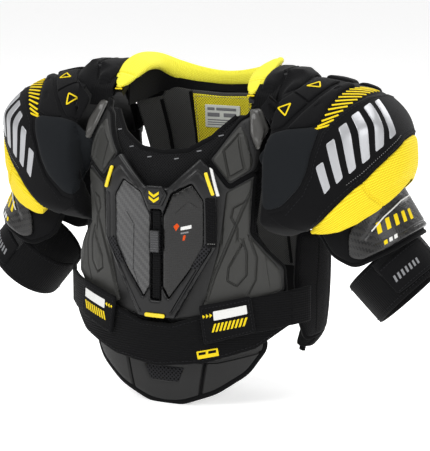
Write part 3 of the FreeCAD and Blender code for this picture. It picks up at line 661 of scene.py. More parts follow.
def stitches(name, path, material, body, length=2.4, gap=1.5, radius=0.42):
    """A run of separate lock stitches along points and normals."""
    here, up = path
    points, faces = [], []
    travelled, start = 0.0, 0.0
    runs = [0.0]
    for a, b in zip(here, here[1:]):
        travelled += (b - a).length
        runs.append(travelled)
    runs = np.array(runs)
    coords = np.array([tuple(p) for p in here])
    normals = np.array([tuple(n) for n in up])
    while start + length < travelled:
        ends = []
        for at in (start, start + length / 2, start + length):
            ends.append((Vector([np.interp(at, runs, coords[:, k]) for k in range(3)]),
                         Vector([np.interp(at, runs, normals[:, k]) for k in range(3)])))
        along = (ends[2][0] - ends[0][0]).normalized()
        first = len(points)
        for (p, n), swell, rise in zip(ends, (0.45, 1.0, 0.45), (0.0, 0.25, 0.0)):
            side = along.cross(n).normalized()
            for k in range(6):
                angle = math.pi * k / 3
                points.append(p + n * rise + (side * math.cos(angle) + n * math.sin(angle))
                              * radius * swell)
        for ring in (0, 6):
            for k in range(6):
                a, b = first + ring + k, first + ring + (k + 1) % 6
                faces.append((a, b, b + 6, a + 6))
        faces.append(tuple(first + k for k in range(6))[::-1])
        faces.append(tuple(first + 12 + k for k in range(6)))
        start += length + gap
    if not points:
        return None
    return finish_mesh(name, points, faces, material, body)


def dress(made, slot, replaces=(), fill=None):
    """Hides the CAD nodes a piece stands for; its material slot and padding fill are not used."""
    if replaces:
        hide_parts(*replaces)
    return made


def ribbing(depth, pitch):
    """Relief of even ribs across a strap that runs up the chart."""
    return lambda flat: depth * np.sin(flat[:, 1] * FULL_TURN / pitch)


def piece(name, outline, place, thick, material, body, slot, nodes=(), fill=None, **shape):
    """A panel together with what it stands for."""
    made = panel(name, outline, place, thick, material, body, **shape)
    return dress(made, slot, nodes, fill)


def laid(name, line, place, height, width, thick, material, body, closed=False, step=2.0):
    """A tape along a line of a chart, its middle at a height over it."""
    path = surface_line(place, line, height, closed, step)
    tape(name, path, width, thick, material, body, closed=closed)


def bound(name, outline, place, height, width, thick, body, corner=2.0, step=2.0):
    """Binding tape over the edge of a panel."""
    laid(name, soften(outline, corner), place, height, width, thick, "binding", body, True,
         step)


def seam(name, line, place, height, body, material="thread", length=2.4, gap=1.5):
    """A run of stitches along a line of a chart."""
    stitches(name, surface_line(place, line, height), material, body, length=length, gap=gap)


# ---------------------------------------------------------------- camera, floor and light


CAMERA_PLACE, CAMERA_TARGET, CAMERA_LENS = (816.7, -1708.5, 216.2), (28.5, -18.1, -146.3), 137.9
FLOOR_REACH = 20.0
LIGHTS = [("key", (-1.1, -2.0, 1.7), (1.6, 1.2), 42), ("fill", (2.0, -1.3, 0.7), (1.4, 1.4), 20),
          ("top", (0.2, 0.3, 2.0), (1.8, 1.2), 26), ("rear", (0.4, 1.7, 1.0), (1.8, 0.8), 18)]
LIGHT_TARGET = (0.03, 0, -0.15)


def aim(obj, target):
    obj.rotation_euler = (Vector(target) - obj.location).to_track_quat("-Z", "Y").to_euler()


def camera():
    data = bpy.data.cameras.new("camera")
    made = bpy.data.objects.new("camera", data)
    bpy.context.scene.collection.objects.link(made)
    made.location = Vector(CAMERA_PLACE) * MM
    aim(made, Vector(CAMERA_TARGET) * MM)
    data.sensor_fit = "VERTICAL"
    data.sensor_height = 36
    data.lens = CAMERA_LENS
    bpy.context.scene.camera = made


def area_light(name, place, size, power):
    data = bpy.data.lights.new(name, "AREA")
    data.shape = "RECTANGLE"
    data.size, data.size_y = size
    data.energy = power
    made = bpy.data.objects.new(name, data)
    bpy.context.scene.collection.objects.link(made)
    made.location = place
    aim(made, LIGHT_TARGET)


def studio():
    """A pale floor just under the part, a pale world and four soft lights."""
    low = cad_box[0][2] - MM
    mesh = bpy.data.meshes.new("floor")
    points = [(x * FLOOR_REACH, y * FLOOR_REACH, low)
              for x, y in ((-1, -1), (1, -1), (1, 1), (-1, 1))]
    mesh.from_pydata(points, [], [(0, 1, 2, 3)])
    material, _, shader = new_material("studio_floor", 0.7, specular=0.2)
    shader.inputs["Base Color"].default_value = (0.92, 0.92, 0.92, 1)
    shader.inputs["Emission Color"].default_value = (1, 1, 1, 1)
    shader.inputs["Emission Strength"].default_value = 0.42
    mesh.materials.append(material)
    floor = bpy.data.objects.new("floor", mesh)
    bpy.context.scene.collection.objects.link(floor)
    world = bpy.data.worlds.new("studio")
    world.use_nodes = True
    world.node_tree.nodes["Background"].inputs["Color"].default_value = (1, 1, 1, 1)
    world.node_tree.nodes["Background"].inputs["Strength"].default_value = 0.55
    bpy.context.scene.world = world
    for light in LIGHTS:
        area_light(*light)
    bpy.context.scene.view_settings.view_transform = "Standard"
    bpy.context.scene.view_settings.look = "None"


camera()
studio()

# ---------------------------------------------------------------- chest

# Height of the inside of each layer over the liner's inside.
BELLY, LINER, FOAM, OVER, BAND, STRAP, TAB, TRIM = -10.4, 0.0, 3.0, 13.0, 13.0, 16.4, 19.4, 19.4
FOAM_THICK, FRAME_THICK, PLATE_THICK = 9.6, 6.0, 3.4
# Moulded chest foam: a backing with a shallow dish, and a face that stands in it.
BACKING_THICK, FACE_LIFT, FACE_THICK = 7.6, 6.4, 3.2
DISH_DEPTH, DISH_SLOPE = -0.9, 1.6


def mesh_bib():
    """Spacer-mesh liner of the chest with its bound and tacked neck."""
    bib = mirror([(0, -55), (28, -52), (52, -38), (72, -18), (88, -18), (89, -9), (104, -9),
                  (109, -24), (106, -60), (97, -140), (122, -182), (125, -236), (104, -262),
                  (54, -279), (0, -284)])
    place = on_front(LINER, 2.6)
    piece("mesh_bib", bib, place, 2.6, "mesh", "chest", step=6, edge=1.2, corner=5,
          slot="mesh_black", nodes=["chest_liner"])
    neck = [(-71, -19.5), (-52, -40), (-28, -54), (0, -57), (28, -54), (52, -40), (71, -19.5)]
    laid("neck_binding", neck, place, 1.6, 5.0, 3.6, "binding", "chest")
    seam("neck_stitching", [(x * 0.985, z - 3.6) for x, z in neck], place, 2.9, "chest")
    for k, (x, z) in enumerate([(-60, -33), (-40, -49), (-16, -58), (16, -58), (40, -49),
                                (60, -33)]):
        laid(f"neck_tack_{k}", [(x - 2.4, z - 5.5), (x + 2.4, z - 4.5)], place, 3.0, 1.3, 0.9,
             "grey_print", "chest", step=0.8)


def chest_foam():
    """Moulded foam panels on both sides of the chest, each under its collarbone guard."""
    upper = [(64, -50), (80, -22), (88, -18), (89, -10), (103, -10), (106, -24), (105, -60),
             (102, -73), (77, -89), (55, -62)]
    upper_face = [(65, -52), (81, -27), (90, -40), (97, -62), (96, -72), (77, -85), (58.5, -62)]
    inset = [(81, -36), (69, -52), (76, -80), (90, -71)]
    lower = [(57, -66.5), (77, -92), (102, -76), (98, -140), (127, -178), (128, -206),
             (74, -230), (12, -238), (12, -112)]
    lower_face = [(74, -96), (98, -82), (95, -141), (122, -180), (124, -203), (74, -226),
                  (50, -222), (66, -160)]
    grooves = [([(99, -90), (88, -116), (78, -143), (62, -186), (54, -214)], False, 1.9, -2.4),
               ([(93, -104), (80, -112), (78, -122), (84, -134), (84, -146)], False, 1.3, -1.9),
               ([(95, -142), (102, -166), (101, -190), (95, -204)], False, 1.4, -2.0),
               ([(89, -146), (93, -160), (93, -184), (84, -196), (75, -190), (76, -176),
                 (88, -152)], False, 1.3, -1.9),
               ([(108, -164), (112, -196)], False, 1.3, 0.9),
               ([(72, -104), (70, -128), (69, -150)], False, 1.2, -1.5)]
    guard = [(89, -11), (99, -10), (111, -31), (104, -52), (95, -34)]
    body = "chest"
    for name, side in SIDES.items():
        place = on_front(FOAM, FOAM_THICK)
        rim = flip(upper_face, side)
        piece(f"upper_pad_{name}", flip(upper, side), place, BACKING_THICK, "eva_dark", body,
              step=4, edge=4.0, corner=4, zones=[(rim, DISH_DEPTH, DISH_SLOPE)],
              slot="moulded_grey", nodes=[f"chest_upper_{name}"], fill=0.85)
        face = on_front(FOAM + FACE_LIFT, FACE_THICK)
        piece(f"upper_face_{name}", rim, face, FACE_THICK, "eva", body, step=3.2, edge=2.6,
              corner=3.5, zones=[(flip(inset, side), DISH_DEPTH, DISH_SLOPE)],
              creases=flipped([(inset, True, 1.5, -1.8),
                               ([(84, -34), (93, -55), (94, -68)], False, 0.9, 0.7)], side),
              slot="moulded_grey")
        rim = flip(lower_face, side)
        piece(f"lower_pad_{name}", flip(lower, side), place, BACKING_THICK, "eva_dark", body,
              step=4.5, edge=4.5, corner=5, zones=[(rim, DISH_DEPTH, DISH_SLOPE)],
              creases=flipped([([(14, -150), (30, -176), (14, -205)], False, 1.2, -1.0)], side),
              slot="moulded_grey", nodes=[f"chest_lower_{name}"], fill=0.85)
        piece(f"lower_face_{name}", rim, face, FACE_THICK, "eva", body, step=3.4, edge=2.6,
              corner=4, creases=flipped(grooves, side),
              zones=[(flip([(86, -150), (90, -162), (90, -182), (82, -192), (78, -176)],
                           side), 0.9, 3.0)], slot="moulded_grey")
        for tag, outline in (("upper", upper), ("lower", lower)):
            bound(f"{tag}_binding_{name}", flip(outline, side), place, 3.6, 3.6, 5.6, body,
                  corner=5)
        place = on_front(OVER, FRAME_THICK)
        crest = flip([(94, -14), (103, -30), (104, -48)], side)
        piece(f"collarbone_guard_{name}", flip(guard, side), place, 3.6, "guard", body, step=2.2,
              edge=2.2, corner=3, creases=[(crest, False, 3.4, 2.2)], crown=0.6,
              slot="plastic_grey", nodes=[f"clavicle_guard_{name}"])
        seam(f"collarbone_stitching_{name}", flip([(83, -24), (92, -38), (100, -58)], side),
             on_front(OVER, 0.4), 0.1, body)


def chest_band():
    """Elastic band round the bottom of the chest."""
    band = mirror([(0, -239), (18, -239), (62, -224), (131, -208), (133, -240), (104, -264),
                   (54, -280), (0, -287)])
    place = on_front(BAND, 3.0)
    piece("chest_elastic", band, place, 3.0, "elastic", "chest", step=5, edge=1.2, corner=3,
          slot="elastic_black", nodes=["chest_band"])
    for tag, line in (("upper", [(-128, -211.5), (-62, -227.5), (-18, -242.5), (18, -242.5),
                                 (62, -227.5), (128, -211.5)]),
                      ("lower", [(-129, -239), (-103, -260), (-54, -276), (0, -283),
                                 (54, -276), (103, -260), (129, -239)])):
        seam(f"band_stitching_{tag}", line, place, 3.1, "chest", length=2.8, gap=1.6)


def sternum():
    """Floating protector: moulded frame, two composite plates, strap, slider and trim."""
    body = "sternum"
    outer = mirror([(0, -92), (14, -92), (48, -60), (60, -70), (67, -98), (67, -153),
                    (22, -233), (0, -233)])
    window = [(7.5, -122), (18, -98), (41, -86), (53, -104), (53, -158), (35, -185),
              (15, -212), (7.5, -200)]
    channel = [(-6.5, -116), (6.5, -116), (6.5, -214), (-6.5, -214)]
    place = on_front(OVER, FRAME_THICK)
    ridges = mirrored([([(22, -95), (47, -72), (56, -82)], False, 1.4, 0.7),
                       ([(60, -104), (60, -156), (19, -226)], False, 1.6, -1.4),
                       ([(63.5, -104), (63.5, -152), (22, -228)], False, 0.9, 0.6)])
    piece("breast_frame", outer, place, FRAME_THICK - 0.6, "plastic", body, step=3.0, edge=1.8,
          corner=2.5, holes=[window, flip(window, -1), channel], creases=ridges,
          slot="plastic_black", nodes=["sternum_frame"])
    plate = [(8, -123), (18.5, -99), (40.5, -87), (52.4, -104.5), (52.4, -157.6), (34.5, -184.6),
             (15.2, -211), (8, -199)]
    skin = on_front(OVER, PLATE_THICK)
    looks = {"left": ("carbon_black", "composite_dark",
                      [([(24, -118), (37, -106), (46, -112)], False, 1.0, 0.5)]),
             "right": ("carbon_grey", "composite_grey",
                       [([(-36, -122), (-27, -134), (-28, -184), (-22, -197)], False, 1.0,
                         -1.0)])}
    for name, side in SIDES.items():
        material, slot, grooves = looks[name]
        piece(f"breast_plate_{name}", flip(plate, side), skin, PLATE_THICK, material, body,
              step=3.0, edge=1.0, corner=2.0, creases=grooves, crown=0.7, slot=slot,
              nodes=[f"sternum_plate_{name}"])
        vent = flip([(54.5, -149), (62, -154), (47, -178), (40.5, -176)], side)
        piece(f"frame_vent_{name}", vent, on_front(OVER + 5.0, 1.0), 0.9, "vent", body, step=2.5,
              edge=0.8, corner=1.5, slot="vent_mesh")
    ink = on_front(OVER + PLATE_THICK + 0.3, 0.5)
    marks = [("orange_print", [(20, -133), (24, -129), (27, -132), (23, -138)]),
             ("white_print", [(28, -133), (40, -130), (40, -134), (28, -137)]),
             ("grey_print", [(28, -139), (37, -137), (37, -139), (28, -141)]),
             ("orange_print", [(31, -142), (34, -141), (33, -147), (30, -148)])]
    for index, (material, outline) in enumerate(marks):
        panel(f"plate_print_{index}", outline, ink, 0.4, material, body, step=2.0, edge=0.3,
              corner=0.8)
    strap = [(-5, -117), (5, -117), (5, -213), (-5, -213)]
    piece("breast_strap", strap, skin, 2.6, "webbing", body, step=2.5, edge=0.8, corner=0.8,
          wave_relief=ribbing(0.35, 5), slot="webbing_black", nodes=["sternum_strap"])
    trim = on_front(TRIM, 2.2)
    badge = mirror([(0, -90), (9, -90), (15, -99), (8, -112), (0, -112)])
    piece("breast_badge", badge, trim, 2.2, "plastic", body, step=2.0, edge=1.0, corner=2.0,
          creases=[([(x * 0.78, -100.5 + (z + 100.5) * 0.78) for x, z in badge], True, 0.6, -0.5)],
          slot="plastic_black", nodes=["sternum_badge"])
    for index, drop in enumerate((0.0, 5.4)):
        chevron = [(-6, -95.5 - drop), (0, -99.5 - drop), (6, -95.5 - drop),
                   (6, -98.6 - drop), (0, -102.8 - drop), (-6, -98.6 - drop)]
        panel(f"badge_mark_{index}", chevron, on_front(TRIM + 2.1, 0.5), 0.4, "yellow_print", body,
              step=1.6, edge=0.3, corner=0.4)
    bars = [[(-12, -228), (12, -228), (12, -232.5), (-12, -232.5)],
            [(54, -74), (57.5, -73), (66, -97), (62.5, -98)],
            [(-54, -74), (-62.5, -98), (-66, -97), (-57.5, -73)]]
    for index, outline in enumerate(bars):
        piece(f"accent_{index}", outline, trim, 2.2, "yellow_gloss", body, step=1.6, edge=1.7,
              corner=2.2, slot="accent_yellow", nodes=["accent_bars"] if index == 0 else [])
    pull = [(56, -101), (67, -100), (68, -153), (57, -153)]
    piece("pull_tape", pull, trim, 1.8, "webbing", body, step=2.5, edge=0.7, corner=1.0,
          wave_relief=ribbing(0.25, 3.2), slot="webbing_black", nodes=["pull_strap"])
    seam("pull_stitching", [(58.5, -149), (66.5, -149)], trim, 1.9, body, material="thread_pale",
         length=1.6, gap=0.6)
    keeper = [(59.5, -68), (63, -70), (71, -98), (67.6, -98.4)]
    piece("keeper_tape", keeper, trim, 2.0, "white_print", body, step=2.0, edge=0.9, corner=1.0,
          slot="label_white", nodes=["strap_keeper"])


def belly():
    """Belly pad with its bound edge, seams and bumpy vent, and the tag on the band above it."""
    outline = mirror([(0, -246), (100, -240), (107, -268), (90, -295), (58, -317), (20, -331),
                      (0, -333)])
    place = on_front(BELLY, 9.6)
    vent = mirror([(0, -291), (24, -291), (17, -308), (0, -308)])
    seam_line = [(48, -246), (47, -286), (41, -321)]
    seams = mirrored([(seam_line, False, 2.8, -2.0)])
    seams.append(([(-104, -272), (-60, -283), (0, -286), (60, -283), (104, -272)], False, 1.6,
                  -1.2))
    piece("belly_cushion", outline, place, 8.4, "eva_dark", "belly", step=4.5, edge=5.0, corner=8,
          creases=seams, crown=1.0, zones=[(vent, -1.6, 2.0)], slot="moulded_grey",
          nodes=["belly_pad"], fill=0.85)
    edge = [(x, z) for x, z in outline if z < -239]
    bound("belly_binding", edge, place, 4.2, 7.0, 7.4, "belly", corner=8)
    for name, side in SIDES.items():
        laid(f"belly_seam_{name}", flip(seam_line, side), place, 7.2, 2.6, 1.0, "binding", "belly")
    studs = on_front(BELLY + 6.9, 2.6)
    piece("belly_vent_mesh", vent, studs, 2.0, "vent", "belly", step=2.2, edge=1.2, corner=2,
          wave_relief=lambda flat: 0.7 * np.prod(np.sin(flat * FULL_TURN / 4.4), 1),
          slot="vent_mesh", nodes=["belly_vent"])
    tag = [(46, -267), (68, -262), (69.5, -270.5), (47.5, -275.5)]
    piece("band_label", tag, on_front(STRAP, 0.8), 0.8, "yellow_print", "chest", step=2.5,
          edge=0.4, corner=0.8, slot="label_yellow", nodes=["band_tag"])
    ink = on_front(STRAP + 0.75, 0.4)
    for index, (x, wide) in enumerate(((48.6, 7.4), (58.6, 8.0))):
        slope = 0.23 * (x - 46)
        panel(f"band_label_ink_{index}",
              [(x, -268.6 + slope), (x + wide, -266.9 + slope), (x + wide, -269.9 + slope),
               (x, -271.6 + slope)], ink, 0.3, "strip", "chest", step=2, edge=0.2, corner=0.2)


STRAP_FOLD = [(133, -203), (146, -201), (146, -240), (133.5, -241)]
TAB_SLOPE = 0.225


def hook_tab_prints(name, side, body):
    """A white block, a row of slanted bars under it and three small triangles before it."""
    drawn = [("white_print", [(65, -221.4), (97, -214.3), (98.0, -223.8), (66.0, -231.2)])]
    for k in range(9):
        x = 66.5 + 3.7 * k
        z = -234.6 + TAB_SLOPE * (x - 66.5)
        drawn.append(("yellow_print", [(x, z), (x + 2.1, z + 0.5), (x - 0.4, z - 9.0),
                                       (x - 2.5, z - 9.5)]))
    for k in range(3):
        x = 54.2 + 3.6 * k
        z = -225.2 + TAB_SLOPE * (x - 54.2)
        drawn.append(("yellow_print", [(x, z), (x + 3.0, z - 1.8), (x + 0.4, z - 4.8)]))
    for index, (material, outline) in enumerate(drawn):
        panel(f"hook_tab_print_{name}_{index}", flip(outline, side), on_front(TAB + 2.55, 0.4),
              0.3, material, body, step=3, edge=0.3, corner=0.4)


def waist():
    """Elastic side straps with hook tabs at the front, and the fold each opens about."""
    strap = [(72, -212), (138, -202), (139, -240), (77, -251)]
    tab = [(50, -216), (101, -205), (106, -244), (56, -258)]
    for name, side in SIDES.items():
        body = f"waist_{name}"
        place = on_front(STRAP, 2.6)
        piece(f"side_elastic_{name}", flip(strap, side), place, 2.6, "elastic", body, step=5,
              edge=1.0, corner=1.0, slot="elastic_black", nodes=[f"waist_strap_{name}"])
        place = on_front(TAB, 2.6)
        piece(f"hook_tab_{name}", flip(tab, side), place, 2.6, "strip", body, step=4.5, edge=1.0,
              corner=3.0, slot="hook_black", nodes=[f"waist_tab_{name}"])
        place = on_front(STRAP + 0.2, 3.0)
        fold = piece(f"side_fold_{name}", flip(STRAP_FOLD, side), place, 3.0, "elastic", None,
                     "elastic_black", step=2.0, edge=0.8, corner=1.0)
        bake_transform(fold)
        seam(f"hook_tab_stitching_{name}",
             flip([(53, -219), (98.5, -209), (103, -242), (58.5, -254.5), (53, -219)], side),
             on_front(TAB, 2.6), 2.7, body)
        hook_tab_prints(name, side, body)


# ---------------------------------------------------------------- yoke and back


COLLAR_ROWS = 90


def collar_frames():
    """Middle points, width directions and half sizes along the collar, from tip to tip."""
    half = [(79.5, -36, 3, 5.5, 3.0, 8), (79, -14, 16, 12.5, 4.5, 14),
            (76.5, 14, 26, 14.5, 5.5, 24), (71, 44, 25, 13.5, 5.5, 42),
            (54, 65, 14, 11.5, 5.5, 64), (28, 73, 8, 9.5, 5.5, 78), (0, 75, 6, 8.5, 5.5, 82)]
    rows = np.array(half + [(-r[0], *r[1:]) for r in reversed(half[:-1])], float)
    knots = np.concatenate([[0], np.cumsum(np.linalg.norm(np.diff(rows[:, :3], axis=0),
                                                          axis=1))])
    slopes = np.gradient(rows, knots, axis=0)
    out = []
    for s in np.linspace(0, knots[-1], COLLAR_ROWS):
        i = min(max(int(np.searchsorted(knots, s)) - 1, 0), len(rows) - 2)
        span = knots[i + 1] - knots[i]
        out.append((s, hermite((s - knots[i]) / span, span, rows, slopes, i)))
    return out


COLLAR_RING, COLLAR_MIDDLE = 28, 15
SEWN_AT, SEWN_WIDE, SEWN_DEEP = 0.62, 0.09, 0.7


def outward(direction, row):
    """The direction, or its opposite if it points into the neck from a place in the collar."""
    away = Vector((row[0], row[1] - COLLAR_MIDDLE, 0))
    return -direction if direction.dot(away) < 0 else direction


def collar():
    """Padded knit collar: a pillowed roll with a sewn line along each face."""
    frames = collar_frames()
    ring = COLLAR_RING
    places = [Vector(row[:3]) for _, row in frames]
    points, faces, uvs, outer = [], [], [], []
    last = len(frames) - 1
    for k, (s, row) in enumerate(frames):
        along = (places[min(k + 1, last)] - places[max(k - 1, 0)]).normalized()
        level = outward(along.cross(Vector((0, 0, 1))).normalized(), row)
        upward = along.cross(level)
        if upward.z < 0:
            upward = -upward
        tilt = math.radians(row[5])
        width = level * math.cos(tilt) + upward * math.sin(tilt)
        through = outward(along.cross(width), row)
        end = min(k, last - k)
        close = min(1.0, 0.35 + 0.3 * end)
        ripple = 1 + 0.02 * math.sin(s * 0.31) + 0.012 * math.sin(s * 0.83 + 1)
        for j in range(ring):
            angle = FULL_TURN * j / ring
            c, q = math.cos(angle), math.sin(angle)
            wide = row[3] * close * math.copysign(abs(c) ** 0.85, c)
            thick = row[4] * close * ripple * math.copysign(abs(q) ** 0.9, q)
            groove = SEWN_DEEP * math.exp(-((c - SEWN_AT) / SEWN_WIDE) ** 2)
            thick -= math.copysign(groove, q)
            points.append(places[k] + width * wide + through * thick)
            uvs.append((row[3] * math.sin(angle / 2) * 3.1 * (1 if angle < math.pi else -1), s))
        outer.append((places[k] + width * (row[3] * SEWN_AT * close) + through
                      * (row[4] * close * 0.72), through))
    for k in range(last):
        for j in range(ring):
            m = (j + 1) % ring
            faces.append((k * ring + j, k * ring + m, (k + 1) * ring + m, (k + 1) * ring + j))
    faces.append(tuple(range(ring))[::-1])
    faces.append(tuple(range(last * ring, (last + 1) * ring)))
    made = finish_mesh("knit_collar", points, faces, "yellow_collar", "yoke", uvs=uvs, sharp=80)
    dress(made, "knit_yellow", ["collar"], 0.8)
    stitches("collar_stitching", ([p for p, _ in outer[4:-4]], [n for _, n in outer[4:-4]]),
             "yellow_print", "yoke", length=2.2, gap=1.4, radius=0.35)
    for tag, index in (("left", 1), ("right", last - 1)):
        for k in range(2):
            spot = places[index] + Vector((0, -1.5 - 3 * k, -1.0 - 2.4 * k))
            tape(f"collar_tack_{tag}_{k}", ([spot - Vector((4, 0, 0)), spot,
                                            spot + Vector((4, 0, 0))],
                                           [Vector((0, -0.6, 0.8))] * 3), 1.6, 1.4,
                 "yellow_print", "yoke")


def ruled(name, low, high, thick, material, body, count=60, rings=5, bulge=0.0):
    """A cloth sheet between two rows of points, smoothed along its length and bulged across."""
    def along(rows, share):
        rows = np.array(rows, float)
        return np.array([np.interp(share, np.linspace(0, 1, len(rows)), rows[:, k])
                         for k in range(3)])

    shares = np.linspace(0, 1, count)
    lower, upper = (np.array([along(rows, s) for s in shares]) for rows in (low, high))
    for rows in (lower, upper):
        for _ in range(3):
            rows[1:-1] = (rows[:-2] + 2 * rows[1:-1] + rows[2:]) / 4
    points, faces, uvs = [], [], []
    run = 0.0
    for k in range(count):
        if k:
            run += float(np.linalg.norm(lower[k] - lower[k - 1]))
        rise = upper[k] - lower[k]
        forward = lower[min(k + 1, count - 1)] - lower[max(k - 1, 0)]
        normal = Vector(np.cross(forward, rise)).normalized()
        for face in (0.5, -0.5):
            for j in range(rings):
                t = j / (rings - 1)
                swell = bulge * math.sin(math.pi * t)
                points.append(Vector(lower[k] + rise * t) + normal * (face * thick + swell))
                uvs.append((run, float(np.linalg.norm(rise)) * t))
    ring = 2 * rings
    for k in range(count - 1):
        a, b = k * ring, (k + 1) * ring
        for j in range(rings - 1):
            faces.append((a + j, b + j, b + j + 1, a + j + 1))
            faces.append((a + rings + j, a + rings + j + 1, b + rings + j + 1, b + rings + j))
        faces.append((a, a + rings, b + rings, b))
        faces.append((a + rings - 1, b + rings - 1, b + ring - 1, a + ring - 1))
    for base in (0, (count - 1) * ring):
        faces += [(base + j, base + j + 1, base + rings + j + 1, base + rings + j)
                  for j in range(rings - 1)]
    return finish_mesh(name, points, faces, material, body, uvs=uvs)


def neck_lining():
    """Cloth that closes the neck from the collar down to the arches and the back pad."""
    low = [(75, -22, -18), (75, 4, -16), (75, 30, -14), (73, 52, -10), (62, 61, -8),
           (36, 66, -8), (0, 68, -8)]
    high = [(75, -20, 4), (72, 2, 15), (69, 24, 20), (66, 44, 17), (53, 60, 5), (28, 69, 1),
            (0, 70.5, -1)]
    turned = [[(-x, y, z) for x, y, z in reversed(rows[:-1])] for rows in (low, high)]
    made = ruled("neck_lining", low + turned[0], high + turned[1], 1.4, "softshell", "yoke")
    dress(made, "softshell_black", fill=0.1)


def gussets():
    """Ribbed elastic that covers each front hinge, from the shoulder down to the chest."""
    path = [(-27, 13), (-34, 8), (-40.5, 2.5), (-42, -3), (-43.5, -9), (-47.5, -16)]
    for name, side in SIDES.items():
        low = [(side * 85.5, y, z) for y, z in path]
        high = [(side * 110, y, z) for y, z in path]
        made = ruled(f"shoulder_gusset_{name}", low, high, 1.2, "elastic", None, count=30,
                     rings=7, bulge=side * -0.6)
        dress(made, "elastic_black", fill=0.2)
        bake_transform(made)


ARCH_Y, ARCH_Z, ARCH_RADIUS = 15.0, -64.0, 86


def on_arch(side, radius):
    """Chart over a shoulder: distance out from the middle, and arc length, positive forward."""
    def place(u, v, height):
        angle = v / ARCH_RADIUS
        r = radius + height
        return Vector((side * u, ARCH_Y - r * math.sin(angle), ARCH_Z + r * math.cos(angle)))
    return place


def epaulettes():
    """Padded epaulettes over the shoulder arches."""
    outline = [(88.5, -36), (107, -36), (107, -11), (103.6, -11), (103.6, 38), (107, 38),
               (107, 54), (88.5, 54)]
    for name, side in SIDES.items():
        place = on_arch(side, 80.4)
        piece(f"epaulette_pad_{name}", outline, place, 9.4, "softshell", "yoke", step=3.2,
              edge=5.5, corner=3, lip=0.25, crown=1.4,
              creases=[([(88, 31), (98, 26), (108, 34)], False, 2.6, -2.6),
                       ([(88, -8), (104, -8)], False, 2.6, -2.6)],
              slot="softshell_black", nodes=[f"epaulette_{name}"], fill=0.75)
        tri = [(93.5, 8), (100.5, 12), (96, 20)]
        laid(f"epaulette_mark_{name}", tri, place, 10.9, 1.3, 0.6, "yellow_print", "yoke", True,
             1.5)


def back():
    """Padded back with its sewn channels and bound edge."""
    pad = mirror([(0, -6), (40, -4), (60, 0), (73.5, -4), (76, -12), (107, -18), (98, -60),
                  (88, -100), (100, -150), (118, -200), (112, -250), (70, -278), (0, -282)])
    place = on_back(0, 11)
    seams = mirrored([(line, False, 3.2, -3.0)
                      for line in ([(52, -6), (58, -60), (48, -110), (50, -180), (44, -276)],
                                   [(58, -60), (96, -66)], [(48, -112), (88, -104)],
                                   [(50, -180), (112, -206)])])
    piece("back_cushion", pad, place, 9.6, "softshell", "yoke", step=6.0, edge=6.0, corner=8,
          creases=seams, crown=1.2, slot="softshell_black", nodes=["back_pad"], fill=0.8)
    bound("back_binding", pad, place, 5.0, 5.0, 7.0, "yoke", corner=8, step=4.0)
    for index, (line, *_) in enumerate(seams):
        seam(f"back_stitching_{index}", [(x + 3.4, z) for x, z in line], place, 9.9, "yoke",
             length=3.0, gap=2.0)


def back_lining():
    """Lining seen through the neck, with its folds taped and a knitted patch."""
    lining = mirror([(0, -10), (40, -8), (58, -5), (71, -9), (73, -16), (103, -22), (94, -60),
                     (84, -100), (96, -150), (106, -200), (0, -206)])
    place = inside_back(-0.4)
    folds = mirrored([(line, False, 2.2, -1.3)
                      for line in ([(40, -10), (34, -60), (31, -110), (46, -204)],
                                   [(74, -20), (66, -60), (60, -100), (82, -160), (88, -198)])])
    piece("back_lining", lining, place, 2.6, "liner", "yoke", step=5.0, edge=1.4, corner=4,
          creases=folds, lip=0.5, slot="liner_grey", nodes=["back_liner"], fill=0.4)
    for index, (line, *_) in enumerate(folds):
        laid(f"lining_tape_{index}", line, inside_back(-3.0), 0.2, 4.2, 0.9, "binding", "yoke",
             step=4.0)
    patch = mirror([(0, -14), (37, -12), (30, -96), (0, -96)])
    piece("lining_patch", patch, inside_back(-3.4), 1.4, "yellow_patch", "yoke", step=4, edge=0.7,
          corner=1.5, slot="knit_yellow", nodes=["back_patch"])
    seam("patch_stitching", [(-34.5, -15), (34.5, -15), (28, -93), (-28, -93), (-34.5, -15)],
         inside_back(-3.4), 1.5, "yoke", material="thread_pale")


def size_label():
    """Label on the patch, with plain blocks in place of print."""
    label = [(-22, -24), (22, -24), (22, -50), (-22, -50)]
    piece("woven_label", label, inside_back(-5.2), 0.8, "label", "yoke", step=4, edge=0.4,
          corner=0.8, slot="label_white", nodes=["size_label"])
    ink = inside_back(-5.95)
    blocks = [(-19, -27, 9, 3.2), (-8, -27, 25, 3.2), (-19, -33, 15, 4.6), (1, -33, 16, 4.6),
              (-19, -40.5, 36, 1.4), (-19, -43.4, 28, 1.2), (-19, -46, 33, 1.2)]
    for index, (x, z, wide, tall) in enumerate(blocks):
        panel(f"label_block_{index}", [(x, z), (x + wide, z), (x + wide, z - tall), (x, z - tall)],
              ink, 0.25, "grey_print", "yoke", step=4, edge=0.2, corner=0.3)


